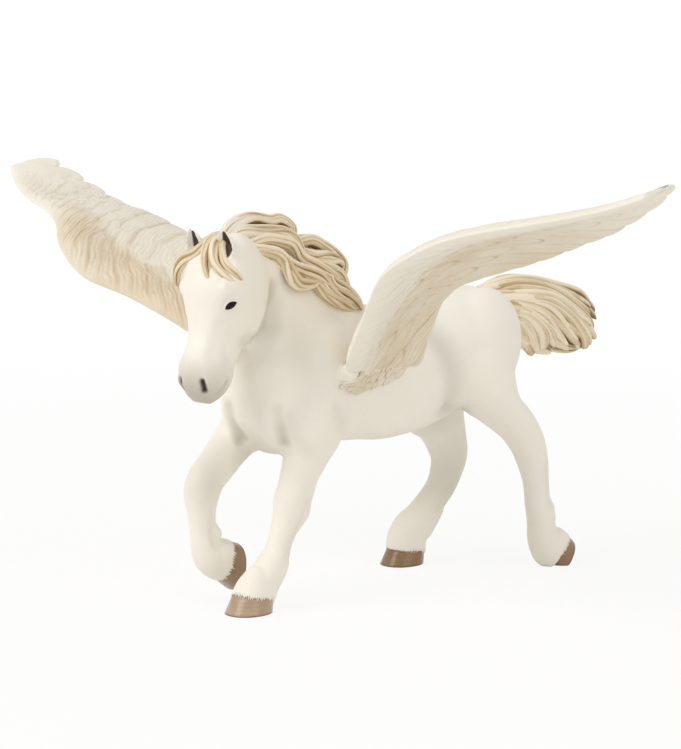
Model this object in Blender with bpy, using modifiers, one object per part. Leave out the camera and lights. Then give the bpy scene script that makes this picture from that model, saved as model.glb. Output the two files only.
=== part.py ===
"""A winged horse figurine of solid soft vinyl, moulded in one piece and standing on three of its hooves.

All shapes are given in millimetres as (forward, left, up), measured from the ground under the withers,
and turned into metres in the model's own frame: +X is the horse's left, -Y is ahead of it, +Z is up.
"""

import math

import bmesh
import bpy
import numpy as np
from mathutils import Matrix, Vector

MM = 0.001
NAME = "pegasus_figure"

# The box round the figure reaches from the nose to the tail, and its middle stands over the origin.
BOX_MIDDLE_FORWARD = -15.2

# Fineness of the moulded skin, and the number of triangles that the finished solid keeps.
SOFT_GRAIN = 1.3
SOFT_ROUNDS = 6
FINE_GRAIN = 0.5
FINE_ROUNDS = 2
SKIN_TRIANGLES = 11600

# The figure's main sizes: half the span of its wings, the height of their tips, and how far the tail
# reaches behind the withers.
HALF_SPAN = 132.0
WING_TIP_HEIGHT = 118.6
TAIL_END = -97.5

# Hooves: length and width of the sole, height of the wall, slope of its sides.
HOOF_LENGTH = 13.2
HOOF_WIDTH = 11.6
HOOF_HEIGHT = 7.0
HOOF_TAPER = 0.80
HOOF_SQUARENESS = 2.3
SOLE_DEPTH_UNDER_GROUND = 0.6

# Head: yaw to the left, its place on the neck, its length and fullness.
HEAD_YAW = 8.0
POLL = (51.0, 2.5, 100.0)
HEAD_LENGTH = 41.5
HEAD_SLOPE = 75.0
EAR_HEIGHT = 7.6
EAR_WIDTH = 5.6
EAR_SPREAD = 5.4
EAR_BASE_SHARE = 0.125
EAR_BASE_FRONT = 6.0

# Wings: thickness of the arm and of the blade behind it, and the bulge of the blade over its chord.
ARM_THICKNESS = 4.6
BLADE_THICKNESS = 1.8
BLADE_BULGE = 0.05

# The left wing's tip hangs this much lower than the right one's.
LEFT_TIP_DROP = 1.3

# Feathers: spacing of the rows along the wing, how far a feather runs outward over the whole chord,
# and how far its free edge stands up. The coverts lie over the front part of the flight feathers.
FLIGHT_SPACING = 8.6
FLIGHT_RUN = 30.0
FLIGHT_STEP = 0.9
COVERT_SPACING = 6.4
COVERT_RUN = 34.0
COVERT_STEP = 0.8
COVERT_CHORD = 0.50
SMOOTH_SHOULDER = 20.0
SHOULDER_FADE = 14.0
SCALLOP_DEPTH = 1.6
TIP_SCALLOP_DEPTH = 3.2

# Locks of mane and tail.
MANE_LOCK = 2.3
TAIL_LOCK = 2.9


def spot(forward, left, up):
    return Vector((left, BOX_MIDDLE_FORWARD - forward, up)) * MM


def smooth_rows(rows, steps):
    """Rows of numbers with smooth values put in between (a Catmull-Rom curve through every row)."""
    rows = np.array(rows, dtype=float)
    padded = np.vstack([2 * rows[0] - rows[1], rows, 2 * rows[-1] - rows[-2]])
    smooth = []
    for index in range(1, len(padded) - 2):
        a, b, c, d = padded[index - 1:index + 3]
        for step in range(steps):
            t = step / steps
            bend = (2 * a - 5 * b + 4 * c - d) * t * t + (3 * b - a - 3 * c + d) * t ** 3
            smooth.append(b + 0.5 * ((c - a) * t + bend))
    smooth.append(rows[-1])
    return np.array(smooth)


def stretched(rows, axis, root, end):
    """Rows of places with one measure stretched away from the root, so that the furthest is at the end."""
    reach = max((place[axis] - root for row in rows for place in row), key=abs)
    scale = (end - root) / reach
    longer = []
    for row in rows:
        places = np.array(row, dtype=float)
        places[:, axis] = root + (places[:, axis] - root) * scale
        longer.append(places)
    return longer


def add_rings(clay, rings):
    """Add a closed skin over rings of (forward, left, up) points to the clay."""
    loops = [[clay.verts.new(spot(*point)) for point in ring] for ring in rings]
    sides = len(loops[0])
    for ring, following in zip(loops, loops[1:]):
        for i in range(sides):
            j = (i + 1) % sides
            clay.faces.new((ring[i], ring[j], following[j], following[i]))
    clay.faces.new(loops[0][::-1])
    clay.faces.new(loops[-1])


def oval(ahead, behind, half_width, squareness, sides=24):
    """Offsets round a section: along the section's own front direction, and sideways."""
    offsets = []
    for i in range(sides):
        angle = 2 * math.pi * i / sides
        c, s = math.cos(angle), math.sin(angle)
        along = math.copysign(abs(c) ** (2 / squareness), c)
        across = math.copysign(abs(s) ** (2 / squareness), s)
        offsets.append((along * (ahead if c > 0 else behind), across * half_width))
    return offsets


def add_limb(clay, rows, squareness=2.2, steps=4, pose=None):
    """Skin over ovals along a path.

    Each row is (forward, left, up, ahead, behind, half_width). On a path that climbs, ahead is forward,
    and on one that runs from the rump to the chest it is down.
    """
    stations = smooth_rows(rows, steps)
    centres = stations[:, :3]
    runs = np.gradient(centres, axis=0)
    rings = []
    for centre, run, sizes in zip(centres, runs, stations[:, 3:]):
        run = run / np.linalg.norm(run)
        sideways = np.array([0.0, 1.0, 0.0]) - run * run[1]
        sideways /= np.linalg.norm(sideways)
        front = np.cross(sideways, run)
        ahead, behind, half_width = np.maximum(sizes, 0.2)
        ring = [centre + front * a + sideways * b for a, b in oval(ahead, behind, half_width, squareness)]
        if pose:
            ring = [pose(point) for point in ring]
        rings.append(ring)
    add_rings(clay, rings)


def add_muscle(clay, centre, radii, lean=0.0):
    """Add a smooth swelling, with its height leaning forward by so many degrees."""
    size = Matrix.Diagonal(Vector((radii[1], radii[0], radii[2], 1.0)) * MM)
    size[3][3] = 1.0
    turn = Matrix.Rotation(math.radians(lean), 4, "X")
    matrix = Matrix.Translation(spot(*centre)) @ turn @ size
    bmesh.ops.create_icosphere(clay, subdivisions=3, radius=1.0, matrix=matrix)


def fuse(name, clay, grain, rounds):
    """Turn overlapping closed skins into one even skin, then rub it smooth."""
    mesh = bpy.data.meshes.new(name)
    clay.to_mesh(mesh)
    clay.free()
    thing = bpy.data.objects.new(name, mesh)
    bpy.context.scene.collection.objects.link(thing)
    skin = thing.modifiers.new("one_skin", "REMESH")
    skin.mode = "VOXEL"
    skin.voxel_size = grain * MM
    rub = thing.modifiers.new("rub_smooth", "SMOOTH")
    rub.factor = 0.5
    rub.iterations = round(rounds)
    graph = bpy.context.evaluated_depsgraph_get()
    baked = bpy.data.meshes.new_from_object(thing.evaluated_get(graph))
    bpy.data.objects.remove(thing)
    bpy.data.meshes.remove(mesh)
    return baked


def nearness(points, path, width):
    """1 on a path of places, falling smoothly to 0 at a width from it."""
    path = np.array(path, dtype=float)
    distance = np.linalg.norm(points - path[0], axis=1)
    for a, b in zip(path, path[1:]):
        run = b - a
        share = np.clip((points - a) @ run / (run @ run), 0, 1)
        distance = np.minimum(distance, np.linalg.norm(points - a - share[:, None] * run, axis=1))
    fade = np.clip(1 - distance / width, 0, 1)
    return fade * fade * (3 - 2 * fade)


def press_folds(mesh, folds):
    """Press lines and hollows into a skin: each fold is (path, width, depth), in millimetres."""
    flat = np.empty(len(mesh.vertices) * 3)
    mesh.vertices.foreach_get("co", flat)
    x, y, z = flat.reshape(-1, 3).T / MM
    points = np.stack([BOX_MIDDLE_FORWARD - y, x, z], 1)
    mesh.vertices.foreach_get("normal", flat)
    x, y, z = flat.reshape(-1, 3).T
    normals = np.stack([-y, x, z], 1)
    for path, width, depth in folds:
        points -= normals * (nearness(points, path, width) * depth)[:, None]
    forward, left, up = points.T
    places = np.stack([left, BOX_MIDDLE_FORWARD - forward, up], 1) * MM
    mesh.vertices.foreach_set("co", places.ravel())
    mesh.update()


# Trunk, from the rump to the chest: (forward, left, up, down reach, up reach, half width).
TRUNK = [
    (-54.5, 0, 68.0, 7.0, 7.0, 5.0),
    (-50.5, 0, 69.0, 12.0, 12.0, 10.0),
    (-43.0, 0, 68.0, 16.0, 16.3, 14.5),
    (-34.0, 0, 66.0, 18.0, 18.4, 16.5),
    (-23.0, 0, 62.5, 17.5, 17.3, 16.2),
    (-12.0, 0, 60.5, 18.3, 18.0, 17.5),
    (1.0, 0, 61.0, 18.9, 19.5, 17.3),
    (12.0, 0, 61.5, 19.0, 19.0, 16.5),
    (22.0, 0, 61.0, 18.5, 18.5, 15.5),
    (30.0, 0, 59.5, 18.8, 17.5, 13.8),
    (38.5, 0, 58.5, 17.0, 15.0, 11.4),
    (45.3, 0, 58.0, 7.5, 7.5, 6.5),
]

# Neck, from inside the trunk up to the poll: throat reach, crest reach, half width.
NECK = [
    (10.0, 0, 60.0, 18.0, 16.0, 12.0),
    (20.0, 0, 69.0, 22.6, 17.5, 12.5),
    (29.0, 0, 79.0, 17.8, 15.5, 10.5),
    (36.5, 0.5, 87.5, 14.0, 13.5, 9.0),
    (43.5, 1.5, 93.5, 11.0, 11.0, 7.8),
    (49.0, 2.3, 96.5, 8.5, 7.5, 6.5),
]

# Lines and hollows pressed into the skin: path, width, depth (a negative depth stands out).
# The first list is on both sides of the animal, the second as it stands.
PAIRED_FOLDS = [
    ([(41.5, 6.2, 55.0), (40.0, 7.6, 49.0), (36.0, 7.4, 44.0)], 3.0, 0.7),
    ([(24.0, 16.5, 54.0), (21.0, 16.0, 49.0), (20.0, 14.0, 45.0)], 3.5, 0.5),
    ([(-13.0, 15.5, 74.0), (-17.5, 15.5, 66.0), (-20.0, 15.5, 58.0), (-21.0, 14.5, 51.0)], 6.5, 1.0),
    ([(-20.0, 13.5, 50.0), (-26.0, 12.0, 47.0), (-31.0, 8.0, 47.0)], 4.0, 0.6),
]
SINGLE_FOLDS = [
    ([(41.6, 11.5, 82.5), (41.2, 9.3, 76.5), (44.0, 8.0, 72.5), (47.5, 7.0, 70.0)], 4.5, 0.9),
    ([(39.5, -4.0, 80.0), (40.0, -4.0, 74.0), (44.0, -3.5, 70.0)], 4.5, 0.9),
]

# The same for both sides of the head, in its own measures (share of its length, front, left): eye socket,
# brow, cheek bone, mouth, rim of the nostril and the nostril itself.
HEAD_FOLDS = [
    ([(0.43, 4.0, 9.0)], 4.0, 0.9),
    ([(0.33, 7.0, 7.6), (0.39, 5.8, 9.6), (0.47, 3.2, 9.8)], 2.2, -0.7),
    ([(0.50, -0.8, 9.4), (0.60, -1.4, 7.6), (0.70, -1.6, 6.4)], 2.4, -0.5),
    ([(1.01, 0.6, 3.4), (0.955, -0.9, 5.9), (0.89, -1.9, 6.9)], 1.1, 0.8),
    ([(0.945, 4.4, 4.8)], 3.4, -0.7),
    ([(0.92, 5.2, 4.3), (0.975, 3.4, 4.6)], 1.5, 1.7),
]
EYE_PLACE = (0.425, 3.6, 7.9)
EYE_RADII = (1.7, 1.3, 1.5)

# Head, measured down its own length from the poll: share of the length, reach to the nose line,
# reach to the jaw line, half width.
HEAD = [
    (1.05, 1.6, 2.4, 2.4),
    (1.00, 4.2, 4.4, 4.8),
    (0.92, 6.4, 6.4, 6.6),
    (0.83, 7.4, 7.0, 7.0),
    (0.75, 6.9, 7.6, 6.3),
    (0.66, 6.3, 10.2, 6.3),
    (0.58, 6.6, 13.6, 7.0),
    (0.48, 7.6, 16.0, 8.4),
    (0.36, 9.2, 16.4, 10.2),
    (0.24, 9.4, 15.5, 10.2),
    (0.12, 8.8, 13.0, 9.4),
    (0.02, 6.8, 9.5, 7.8),
    (-0.06, 2.6, 5.0, 4.6),
]

# Legs from the ground up: (forward, left, up, reach ahead, reach behind, half width).
LEFT_FORE = [
    (46.8, 8.5, 4.5, 5.4, 5.2, 5.0),
    (44.4, 8.5, 8.0, 4.7, 4.6, 4.5),
    (41.9, 8.5, 11.5, 4.4, 4.6, 4.6),
    (39.8, 8.5, 14.5, 3.8, 4.0, 3.9),
    (38.1, 8.6, 18.5, 3.9, 3.9, 3.4),
    (36.3, 8.7, 23.5, 4.2, 4.9, 3.9),
    (34.6, 9.0, 28.5, 5.3, 5.3, 4.8),
    (33.3, 9.2, 32.5, 5.2, 5.2, 4.8),
    (32.0, 9.5, 36.5, 5.6, 5.2, 5.1),
    (29.8, 9.8, 41.0, 7.2, 5.7, 6.0),
    (26.0, 9.5, 48.0, 9.6, 7.9, 7.2),
    (19.0, 8.0, 60.0, 11.0, 11.0, 8.0),
]
RIGHT_FORE = [
    (45.2, -9.5, 11.0, 5.4, 5.2, 4.9),
    (46.8, -9.5, 11.5, 4.9, 5.0, 4.6),
    (48.7, -9.5, 13.3, 4.7, 5.0, 4.6),
    (50.2, -9.5, 16.0, 4.0, 4.4, 3.9),
    (50.9, -9.5, 20.5, 3.7, 3.8, 3.4),
    (51.4, -9.5, 25.5, 4.0, 4.1, 3.8),
    (51.3, -9.5, 30.5, 5.0, 5.0, 4.8),
    (49.5, -9.5, 34.2, 5.6, 5.0, 4.8),
    (45.4, -9.6, 38.0, 5.7, 4.9, 5.2),
    (39.4, -9.8, 44.0, 5.9, 5.8, 6.2),
    (31.0, -9.5, 51.5, 7.6, 9.0, 7.2),
    (23.0, -8.0, 60.0, 10.0, 10.0, 8.0),
]
RIGHT_HIND = [
    (-30.8, -15.4, 4.5, 6.0, 6.0, 5.2),
    (-31.2, -15.2, 7.8, 6.1, 5.8, 4.8),
    (-32.8, -15.0, 11.3, 4.9, 6.7, 4.8),
    (-36.4, -14.7, 14.8, 3.7, 6.3, 4.2),
    (-41.0, -14.2, 19.5, 3.5, 5.6, 3.7),
    (-44.0, -13.8, 23.0, 4.0, 5.6, 3.9),
    (-46.2, -13.4, 27.5, 5.2, 5.6, 4.4),
    (-46.8, -13.0, 32.0, 6.2, 6.2, 5.0),
    (-45.2, -12.6, 37.3, 7.6, 6.6, 5.4),
    (-43.2, -12.2, 43.0, 10.8, 6.7, 6.4),
    (-39.0, -11.0, 50.0, 13.5, 9.2, 8.2),
    (-36.0, -9.0, 62.0, 13.0, 13.0, 9.0),
]
LEFT_HIND = [
    (-62.0, 15.5, 3.8, 5.0, 5.0, 4.6),
    (-60.0, 15.3, 5.0, 5.0, 5.0, 4.6),
    (-58.6, 15.0, 8.8, 4.7, 5.0, 4.6),
    (-57.8, 14.8, 13.6, 4.2, 5.2, 4.0),
    (-56.6, 14.5, 19.5, 4.0, 4.2, 3.5),
    (-56.0, 14.2, 25.7, 3.8, 4.2, 3.7),
    (-55.0, 13.8, 31.8, 4.7, 4.8, 4.5),
    (-53.0, 13.4, 37.9, 5.7, 5.2, 5.0),
    (-49.0, 12.8, 43.5, 6.2, 5.4, 5.8),
    (-42.8, 12.0, 49.2, 7.3, 6.0, 7.2),
    (-38.2, 11.0, 55.5, 11.2, 9.6, 8.8),
    (-35.5, 9.0, 64.0, 13.0, 12.5, 9.2),
]

# Hooves: middle of the sole, and the way the hoof points from coronet to sole (degrees from straight
# down, swung back), with 0 for a hoof flat on the ground, and its size against the others.
HOOVES = {
    "left_fore": (49.8, 8.5, 0.0, 0.0, 1.0),
    "right_fore": (40.2, -9.5, 9.1, 82.0, 1.0),
    "right_hind": (-29.7, -15.4, 0.0, 0.0, 1.0),
    "left_hind": (-66.0, 15.5, 2.2, 58.0, 0.86),
}
HOOF_LEAN = 2.4

# Swellings under the skin: middle, radii (forward, left, up), lean. Each is set on both sides.
MUSCLES = [
    ((21.0, 9.0, 62.0), (11.0, 8.5, 18.0), 12.0),
    ((35.6, 6.5, 54.0), (9.5, 7.5, 11.0), 0.0),
    ((-38.5, 8.5, 67.0), (14.0, 9.5, 17.0), -14.0),
    ((-42.8, 7.5, 60.0), (7.2, 7.5, 13.0), 12.0),
    ((0.0, 6.0, 52.0), (22.0, 11.0, 9.5), 0.0),
]

# Wing edges from the root to the tip: leading edge, then trailing edge, as (forward, left, up).
WING = [
    ((19.0, 8.0, 60.0), (-6.0, 8.0, 64.0)),
    ((22.5, 17.0, 62.8), (-4.5, 17.0, 64.5)),
    ((28.0, 24.0, 66.0), (-4.0, 21.5, 72.0)),
    ((33.5, 31.0, 70.0), (-2.5, 28.0, 82.0)),
    ((39.4, 40.0, 76.2), (1.0, 39.0, 88.2)),
    ((45.9, 50.0, 82.2), (4.0, 50.0, 91.2)),
    ((53.4, 60.0, 87.4), (5.0, 60.0, 93.6)),
    ((55.6, 68.0, 95.4), (5.3, 70.0, 96.2)),
    ((50.3, 78.0, 102.4), (5.2, 80.0, 99.4)),
    ((47.0, 89.0, 105.8), (6.5, 90.0, 102.7)),
    ((43.8, 100.0, 108.0), (9.5, 100.0, 105.4)),
    ((40.0, 110.0, 110.0), (12.0, 110.0, 109.4)),
    ((35.2, 120.0, 112.4), (15.0, 120.0, 113.9)),
    ((31.0, 128.0, 115.2), (19.0, 128.0, 118.0)),
    ((28.6, 132.0, 116.8), (24.5, 131.8, 118.6)),
]
WING_ROOT_LEFT = WING[0][0][1]
SIZED_WING = stretched(WING, 1, WING_ROOT_LEFT, HALF_SPAN)
SIZED_WING = stretched(SIZED_WING, 2, WING[0][0][2], WING_TIP_HEIGHT)
WING_LEADING = smooth_rows([lead for lead, trail in SIZED_WING], 6)
WING_TRAILING = smooth_rows([trail for lead, trail in SIZED_WING], 6)


def wing_point(reach, chord):
    """A point on the wing's middle surface: reach sideways in mm, chord 0 at the front, 1 at the back."""
    lead = np.array([np.interp(reach, WING_LEADING[:, 1], WING_LEADING[:, axis]) for axis in range(3)])
    trail = np.array([np.interp(reach, WING_TRAILING[:, 1], WING_TRAILING[:, axis]) for axis in range(3)])
    width = np.linalg.norm(trail - lead)
    bulge = BLADE_BULGE * width * 4 * chord * (1 - chord) if 0 < chord < 1 else 0.0
    return lead + (trail - lead) * chord + np.array([0.0, 0.0, bulge])


def shingle(reach, chord, spacing, run):
    """How high one feather stands over the next: 1 at its free edge, falling to 0 where it is covered."""
    place = ((reach - run * chord) / spacing) % 1.0
    return 1 - place if place > 0.12 else place / 0.12


def feather_relief(reach, chord):
    """Thickness that the feathers add to each face of the blade, fading out on the smooth shoulder."""
    start = np.clip((reach - SMOOTH_SHOULDER) / SHOULDER_FADE, 0, 1)
    tip_fade = np.clip((HALF_SPAN + 4.0 - reach) / 30.0, 0.35, 1)
    relief = FLIGHT_STEP * shingle(reach, chord, FLIGHT_SPACING, FLIGHT_RUN)
    covert_place = ((reach - COVERT_RUN * chord) / COVERT_SPACING) % 1.0
    covert_end = COVERT_CHORD + 0.05 * math.sin(math.pi * covert_place)
    cover = 1 / (1 + math.exp((chord - covert_end) / 0.012))
    covert = COVERT_STEP * (0.7 + 0.6 * shingle(reach, chord, COVERT_SPACING, COVERT_RUN))
    return start * tip_fade * (relief * (1 - 0.6 * cover) + covert * cover)


def scallop(reach):
    """How far the rounded feather tips stand out behind the trailing edge, in mm."""
    place = ((reach - FLIGHT_RUN) / FLIGHT_SPACING) % 1.0
    lobe = math.sqrt(max(0.0, 1 - (2 * place - 1) ** 2))
    share = np.clip((reach - 30.0) / (HALF_SPAN - 30.0), 0, 1)
    return lobe * (SCALLOP_DEPTH + (TIP_SCALLOP_DEPTH - SCALLOP_DEPTH) * share ** 3)


def add_wing(clay, side):
    """One wing: a thin blade with a rounded arm along its front and feathers over both faces."""
    mirror = np.array([1.0, side, 1.0])
    chords = (1 - np.cos(np.linspace(0, math.pi, 41))) / 2
    rings = []
    for reach in np.linspace(WING_ROOT_LEFT + 0.01, HALF_SPAN - 0.3, 170):
        share = reach / HALF_SPAN
        drop = LEFT_TIP_DROP * share ** 2 if side > 0 else 0.0
        arm = ARM_THICKNESS * (1.15 - share) * 0.5
        blade = BLADE_THICKNESS * (1.25 - 0.5 * share) * 0.5
        width = np.linalg.norm(wing_point(reach, 1.0) - wing_point(reach, 0.0))
        stretch = 1 + scallop(reach) / max(width, 4.0)
        above = []
        below = []
        for chord in chords:
            rounding = min(1.0, math.sqrt(max(chord * (1 - chord), 0.0)) * 4)
            half = blade + arm * math.exp(-((chord - 0.12) / 0.13) ** 2)
            half = (half * 0.8 + feather_relief(reach, chord) * 0.5) * rounding + 0.05
            middle = wing_point(reach, chord * stretch) - np.array([0, 0, drop])
            above.append((middle + np.array([0, 0, half])) * mirror)
            below.append((middle - np.array([0, 0, half])) * mirror)
        rings.append(above + below[::-1])
    add_rings(clay, rings)


def add_locks(clay, locks, fullness, steps=5):
    """Add wavy locks of hair: each a row of (forward, left, up) points, thick at the middle."""
    curve = bpy.data.curves.new("locks", "CURVE")
    curve.dimensions = "3D"
    curve.bevel_depth = fullness * MM
    curve.bevel_resolution = 2
    curve.use_fill_caps = True
    for lock in locks:
        path = smooth_rows(lock, steps)
        spline = curve.splines.new("POLY")
        spline.points.add(len(path) - 1)
        for i, place in enumerate(path):
            share = i / (len(path) - 1)
            spline.points[i].co = (*spot(*place), 1.0)
            spline.points[i].radius = 0.25 + 0.75 * math.sin(math.pi * min(1.0, 0.15 + share * 0.85)) ** 0.6
    holder = bpy.data.objects.new("locks", curve)
    bpy.context.scene.collection.objects.link(holder)
    graph = bpy.context.evaluated_depsgraph_get()
    mesh = bpy.data.meshes.new_from_object(holder.evaluated_get(graph))
    clay.from_mesh(mesh)
    bpy.data.objects.remove(holder)
    bpy.data.meshes.remove(mesh)


MANE = [
    [(54, 4, 101.5), (51, 3.5, 104), (46.5, 3, 105.4), (42, 2, 105.4), (37, 2, 104.6), (33, 2, 105),
     (29.5, 3, 103), (29.5, 4, 100)],
    [(53, 5.5, 100.5), (49.5, 5.5, 102.5), (44.5, 6, 102.3), (35, 5, 101.5), (32, 6, 100), (31, 7, 98),
     (30, 8, 94.5), (25, 8, 92.5)],
    [(49.5, 6, 99), (43, 7, 100.5), (36.5, 7, 99.5), (33, 7, 98), (31, 8, 95), (26.5, 8.5, 93), (20, 8.5, 90),
     (16, 8, 88)],
    [(48, 7, 98), (44, 8, 97.5), (40, 8.5, 96.5), (37.5, 9, 94.5), (34.5, 10, 92.5), (28, 10.5, 90.5),
     (24.5, 10.5, 88.5), (18, 10, 83.5)],
    [(31, 4, 98.5), (23.5, 3, 99), (18.5, 3, 97), (14.5, 4, 94.5), (12.5, 5, 92), (13.5, 6, 88)],
    [(29.5, 6, 96.5), (25.5, 7, 95), (21, 7, 94.5), (15.5, 6, 93.5), (13, 6, 92)],
    [(37.5, 9.5, 95), (36.5, 10.5, 91.5), (34.5, 11, 89), (30, 11, 88.5), (26, 10.5, 89)],
    [(21.5, 8, 91.5), (20, 8.5, 88), (15, 8, 85.5), (10, 7, 82.5), (4.5, 4, 79.5)],
    [(28, 10, 90.5), (25, 10.5, 87), (21.5, 10.5, 84.5), (17, 9.5, 82.5), (9.5, 7, 80)],
    [(46, 0, 102), (38, -1, 102.5), (30, -2, 99.5), (23, -2, 96), (16, -2, 91), (9, -1, 85), (2, 0, 80.5)],
    [(46, -4, 101), (41, -7.5, 99), (37, -9.5, 93), (32, -10.5, 89), (27, -10, 85.5)],
    [(40, -4, 101), (34, -8, 97), (29, -9.5, 92), (23, -10, 87.5), (17, -9.5, 83)],
    [(32, -4, 98), (26, -7, 93), (20, -9, 88.5), (13, -8.5, 83.5), (7, -6.5, 80)],
]
FORELOCK = [
    [(52, 2, 101.5), (57, 3, 101), (60, 1, 98), (60.5, -3.5, 96), (60.5, -7, 92.5), (59, -9.5, 88)],
    [(52, 3, 101.5), (58, 4, 100.5), (60.5, 5, 96.5), (61, 6.5, 92), (60, 8.5, 87.5)],
    [(52, 4, 101.5), (58, 5.5, 100), (60, 7.5, 95.5), (58.5, 10.5, 91.5), (54.5, 12.5, 89)],
    [(52, 5, 101), (57, 6.5, 99.5), (58.5, 9, 95), (56.5, 11.8, 92), (54.5, 12.5, 90)],
]
DOCK = -44.0
TAIL = [
    [(-44, 0, 80.5), (-50, 1, 82), (-57, 2, 82.6), (-68, 3, 82), (-78, 4, 79.6), (-88, 5, 75.6),
     (-93.5, 5, 70.5)],
    [(-45, -1, 79), (-52, -2, 80), (-62, -3, 79.5), (-73, -4, 76.5), (-84, -5, 72.5), (-93, -5, 69.5)],
    [(-46, 2, 79), (-54, 4, 79), (-61, 6, 78.5), (-71, 7, 76), (-82, 8, 72), (-91.5, 8, 67)],
    [(-46, 3, 78), (-52, 5, 77), (-61.5, 7, 75), (-72.5, 8, 71.4), (-83, 8, 66.4), (-91, 7, 62)],
    [(-46, 2, 77), (-52, 5, 74), (-59.5, 7, 71), (-70.5, 7, 66), (-82, 7, 61)],
    [(-46, 1, 75.5), (-51.5, 4, 72), (-57.5, 6, 67.5), (-66, 6, 63.5), (-74.5, 6, 61.5)],
    [(-46, -1, 76), (-52, -4, 74), (-60, -6, 70.5), (-70, -7, 65.5), (-79, -6, 61)],
    [(-46, 0, 74.5), (-51, -2, 70.5), (-56, -2, 65.5), (-62, -1, 60)],
    [(-47, 0, 78), (-58, 1, 77), (-70, 1, 75), (-82, 1, 71.5), (-91, 1, 68), (-97.5, 1, 69)],
    [(-47, -2, 78), (-58, -5, 77), (-69, -7, 74), (-80, -8, 69), (-88, -7, 64.5)],
    [(-47, 0, 76), (-58, 1, 73), (-70, 0, 68), (-80, 0, 63.5), (-88, 1, 61)],
]

# The solid middle of the tail and of the mane, which the locks lie on.
TAIL_CORE = [
    (-46.0, 0, 78.5, 3.5, 3.0, 3.0),
    (-54.0, 0.5, 77.5, 4.5, 4.0, 4.5),
    (-64.0, 0.5, 74.5, 7.0, 6.0, 6.5),
    (-76.0, 0.5, 70.5, 7.5, 6.5, 7.5),
    (-85.0, 0.5, 67.0, 5.0, 5.0, 6.0),
    (-91.0, 0.5, 65.5, 2.0, 2.0, 3.0),
]
MANE_CORE = [
    (47.0, 1.0, 100.0, 3.0, 3.0, 5.0),
    (40.0, 0.5, 99.5, 4.5, 3.5, 7.0),
    (31.0, 0.5, 96.0, 6.0, 4.5, 8.0),
    (22.0, 0.0, 91.0, 6.0, 4.5, 7.5),
    (13.0, 0.0, 85.5, 5.0, 3.5, 6.0),
    (5.0, 0.0, 80.5, 2.5, 2.0, 4.0),
]


def head_pose(point):
    """Turn a head point, built facing straight ahead, to the head's yaw about the poll."""
    turn = math.radians(HEAD_YAW)
    forward, left = point[0] - POLL[0], point[1] - POLL[1]
    return np.array([POLL[0] + forward * math.cos(turn) - left * math.sin(turn),
                     POLL[1] + left * math.cos(turn) + forward * math.sin(turn), point[2]])


def head_point(share, front, left):
    """A point in the head: down its length, out towards the nose line, and to its left."""
    slope = math.radians(HEAD_SLOPE)
    forward = POLL[0] + share * HEAD_LENGTH * math.cos(slope) + front * math.sin(slope)
    up = POLL[2] - share * HEAD_LENGTH * math.sin(slope) + front * math.cos(slope)
    return head_pose(np.array([forward, POLL[1] + left, up]))


def add_head(clay):
    slope = math.radians(HEAD_SLOPE)
    rows = []
    for share, nose, jaw, half_width in HEAD:
        rows.append((POLL[0] + share * HEAD_LENGTH * math.cos(slope), POLL[1],
                     POLL[2] - share * HEAD_LENGTH * math.sin(slope), nose, jaw, half_width))
    add_limb(clay, rows, squareness=2.3, steps=4, pose=head_pose)


def add_ears(clay):
    """Pricked ears: narrow leaves, hollow in front, leaning a little ahead and apart."""
    for side in (1, -1):
        rings = []
        for share in np.linspace(0, 1, 7):
            width = EAR_WIDTH / 2 * (math.sin(math.pi * (0.28 + 0.72 * share)) + 0.05)
            down = EAR_BASE_SHARE - share * EAR_HEIGHT / HEAD_LENGTH
            centre = head_point(down, EAR_BASE_FRONT + share * 1.6, side * (EAR_SPREAD + share * 0.6))
            ring = []
            for a, b in oval(width * 0.6, width * 0.6, width, 2.0, sides=12):
                ring.append(centre + np.array([a, b, 0]))
            rings.append(ring)
        add_rings(clay, rings)


def add_hoof(clay, forward, left, up, swing, scale):
    """A hoof wall: an oval block that widens to its sole, leaning forward as the toe does."""
    angle = math.radians(swing)
    down = np.array([-math.sin(angle), 0.0, -math.cos(angle)])
    toe = np.array([math.cos(angle), 0.0, -math.sin(angle)])
    sole = np.array([forward, left, up])
    if swing == 0:
        sole = sole + down * SOLE_DEPTH_UNDER_GROUND
    rings = []
    for share in (0.0, 0.5, 0.85, 1.0):
        size = scale * (1 - (1 - HOOF_TAPER) * share)
        if share == 1.0:
            size *= 0.8
        centre = sole - (down * HOOF_HEIGHT + toe * HOOF_LEAN) * scale * share
        ring = [centre + toe * a + np.array([0, b, 0])
                for a, b in oval(HOOF_LENGTH / 2 * size, HOOF_LENGTH / 2 * size, HOOF_WIDTH / 2 * size,
                                 HOOF_SQUARENESS)]
        rings.append(ring)
    add_rings(clay, rings)


def build_body():
    """The soft forms, blended: trunk, neck, head and the upper legs with their muscles."""
    clay = bmesh.new()
    add_limb(clay, TRUNK, squareness=2.1)
    add_limb(clay, NECK, squareness=2.1)
    add_head(clay)
    for rows in (LEFT_FORE, RIGHT_FORE, RIGHT_HIND, LEFT_HIND):
        add_limb(clay, rows[6:], squareness=2.1)
    for centre, radii, lean in MUSCLES:
        for side in (1, -1):
            add_muscle(clay, (centre[0], side * centre[1], centre[2]), radii, lean)
    return fuse("soft_forms", clay, SOFT_GRAIN, SOFT_ROUNDS)


def figure_folds():
    folds = list(SINGLE_FOLDS)
    for side in (1, -1):
        for path, width, depth in PAIRED_FOLDS:
            folds.append(([(forward, side * left, up) for forward, left, up in path], width, depth))
        for path, width, depth in HEAD_FOLDS:
            places = [head_point(share, front, side * left) for share, front, left in path]
            folds.append((places, width, depth))
    return folds


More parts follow.
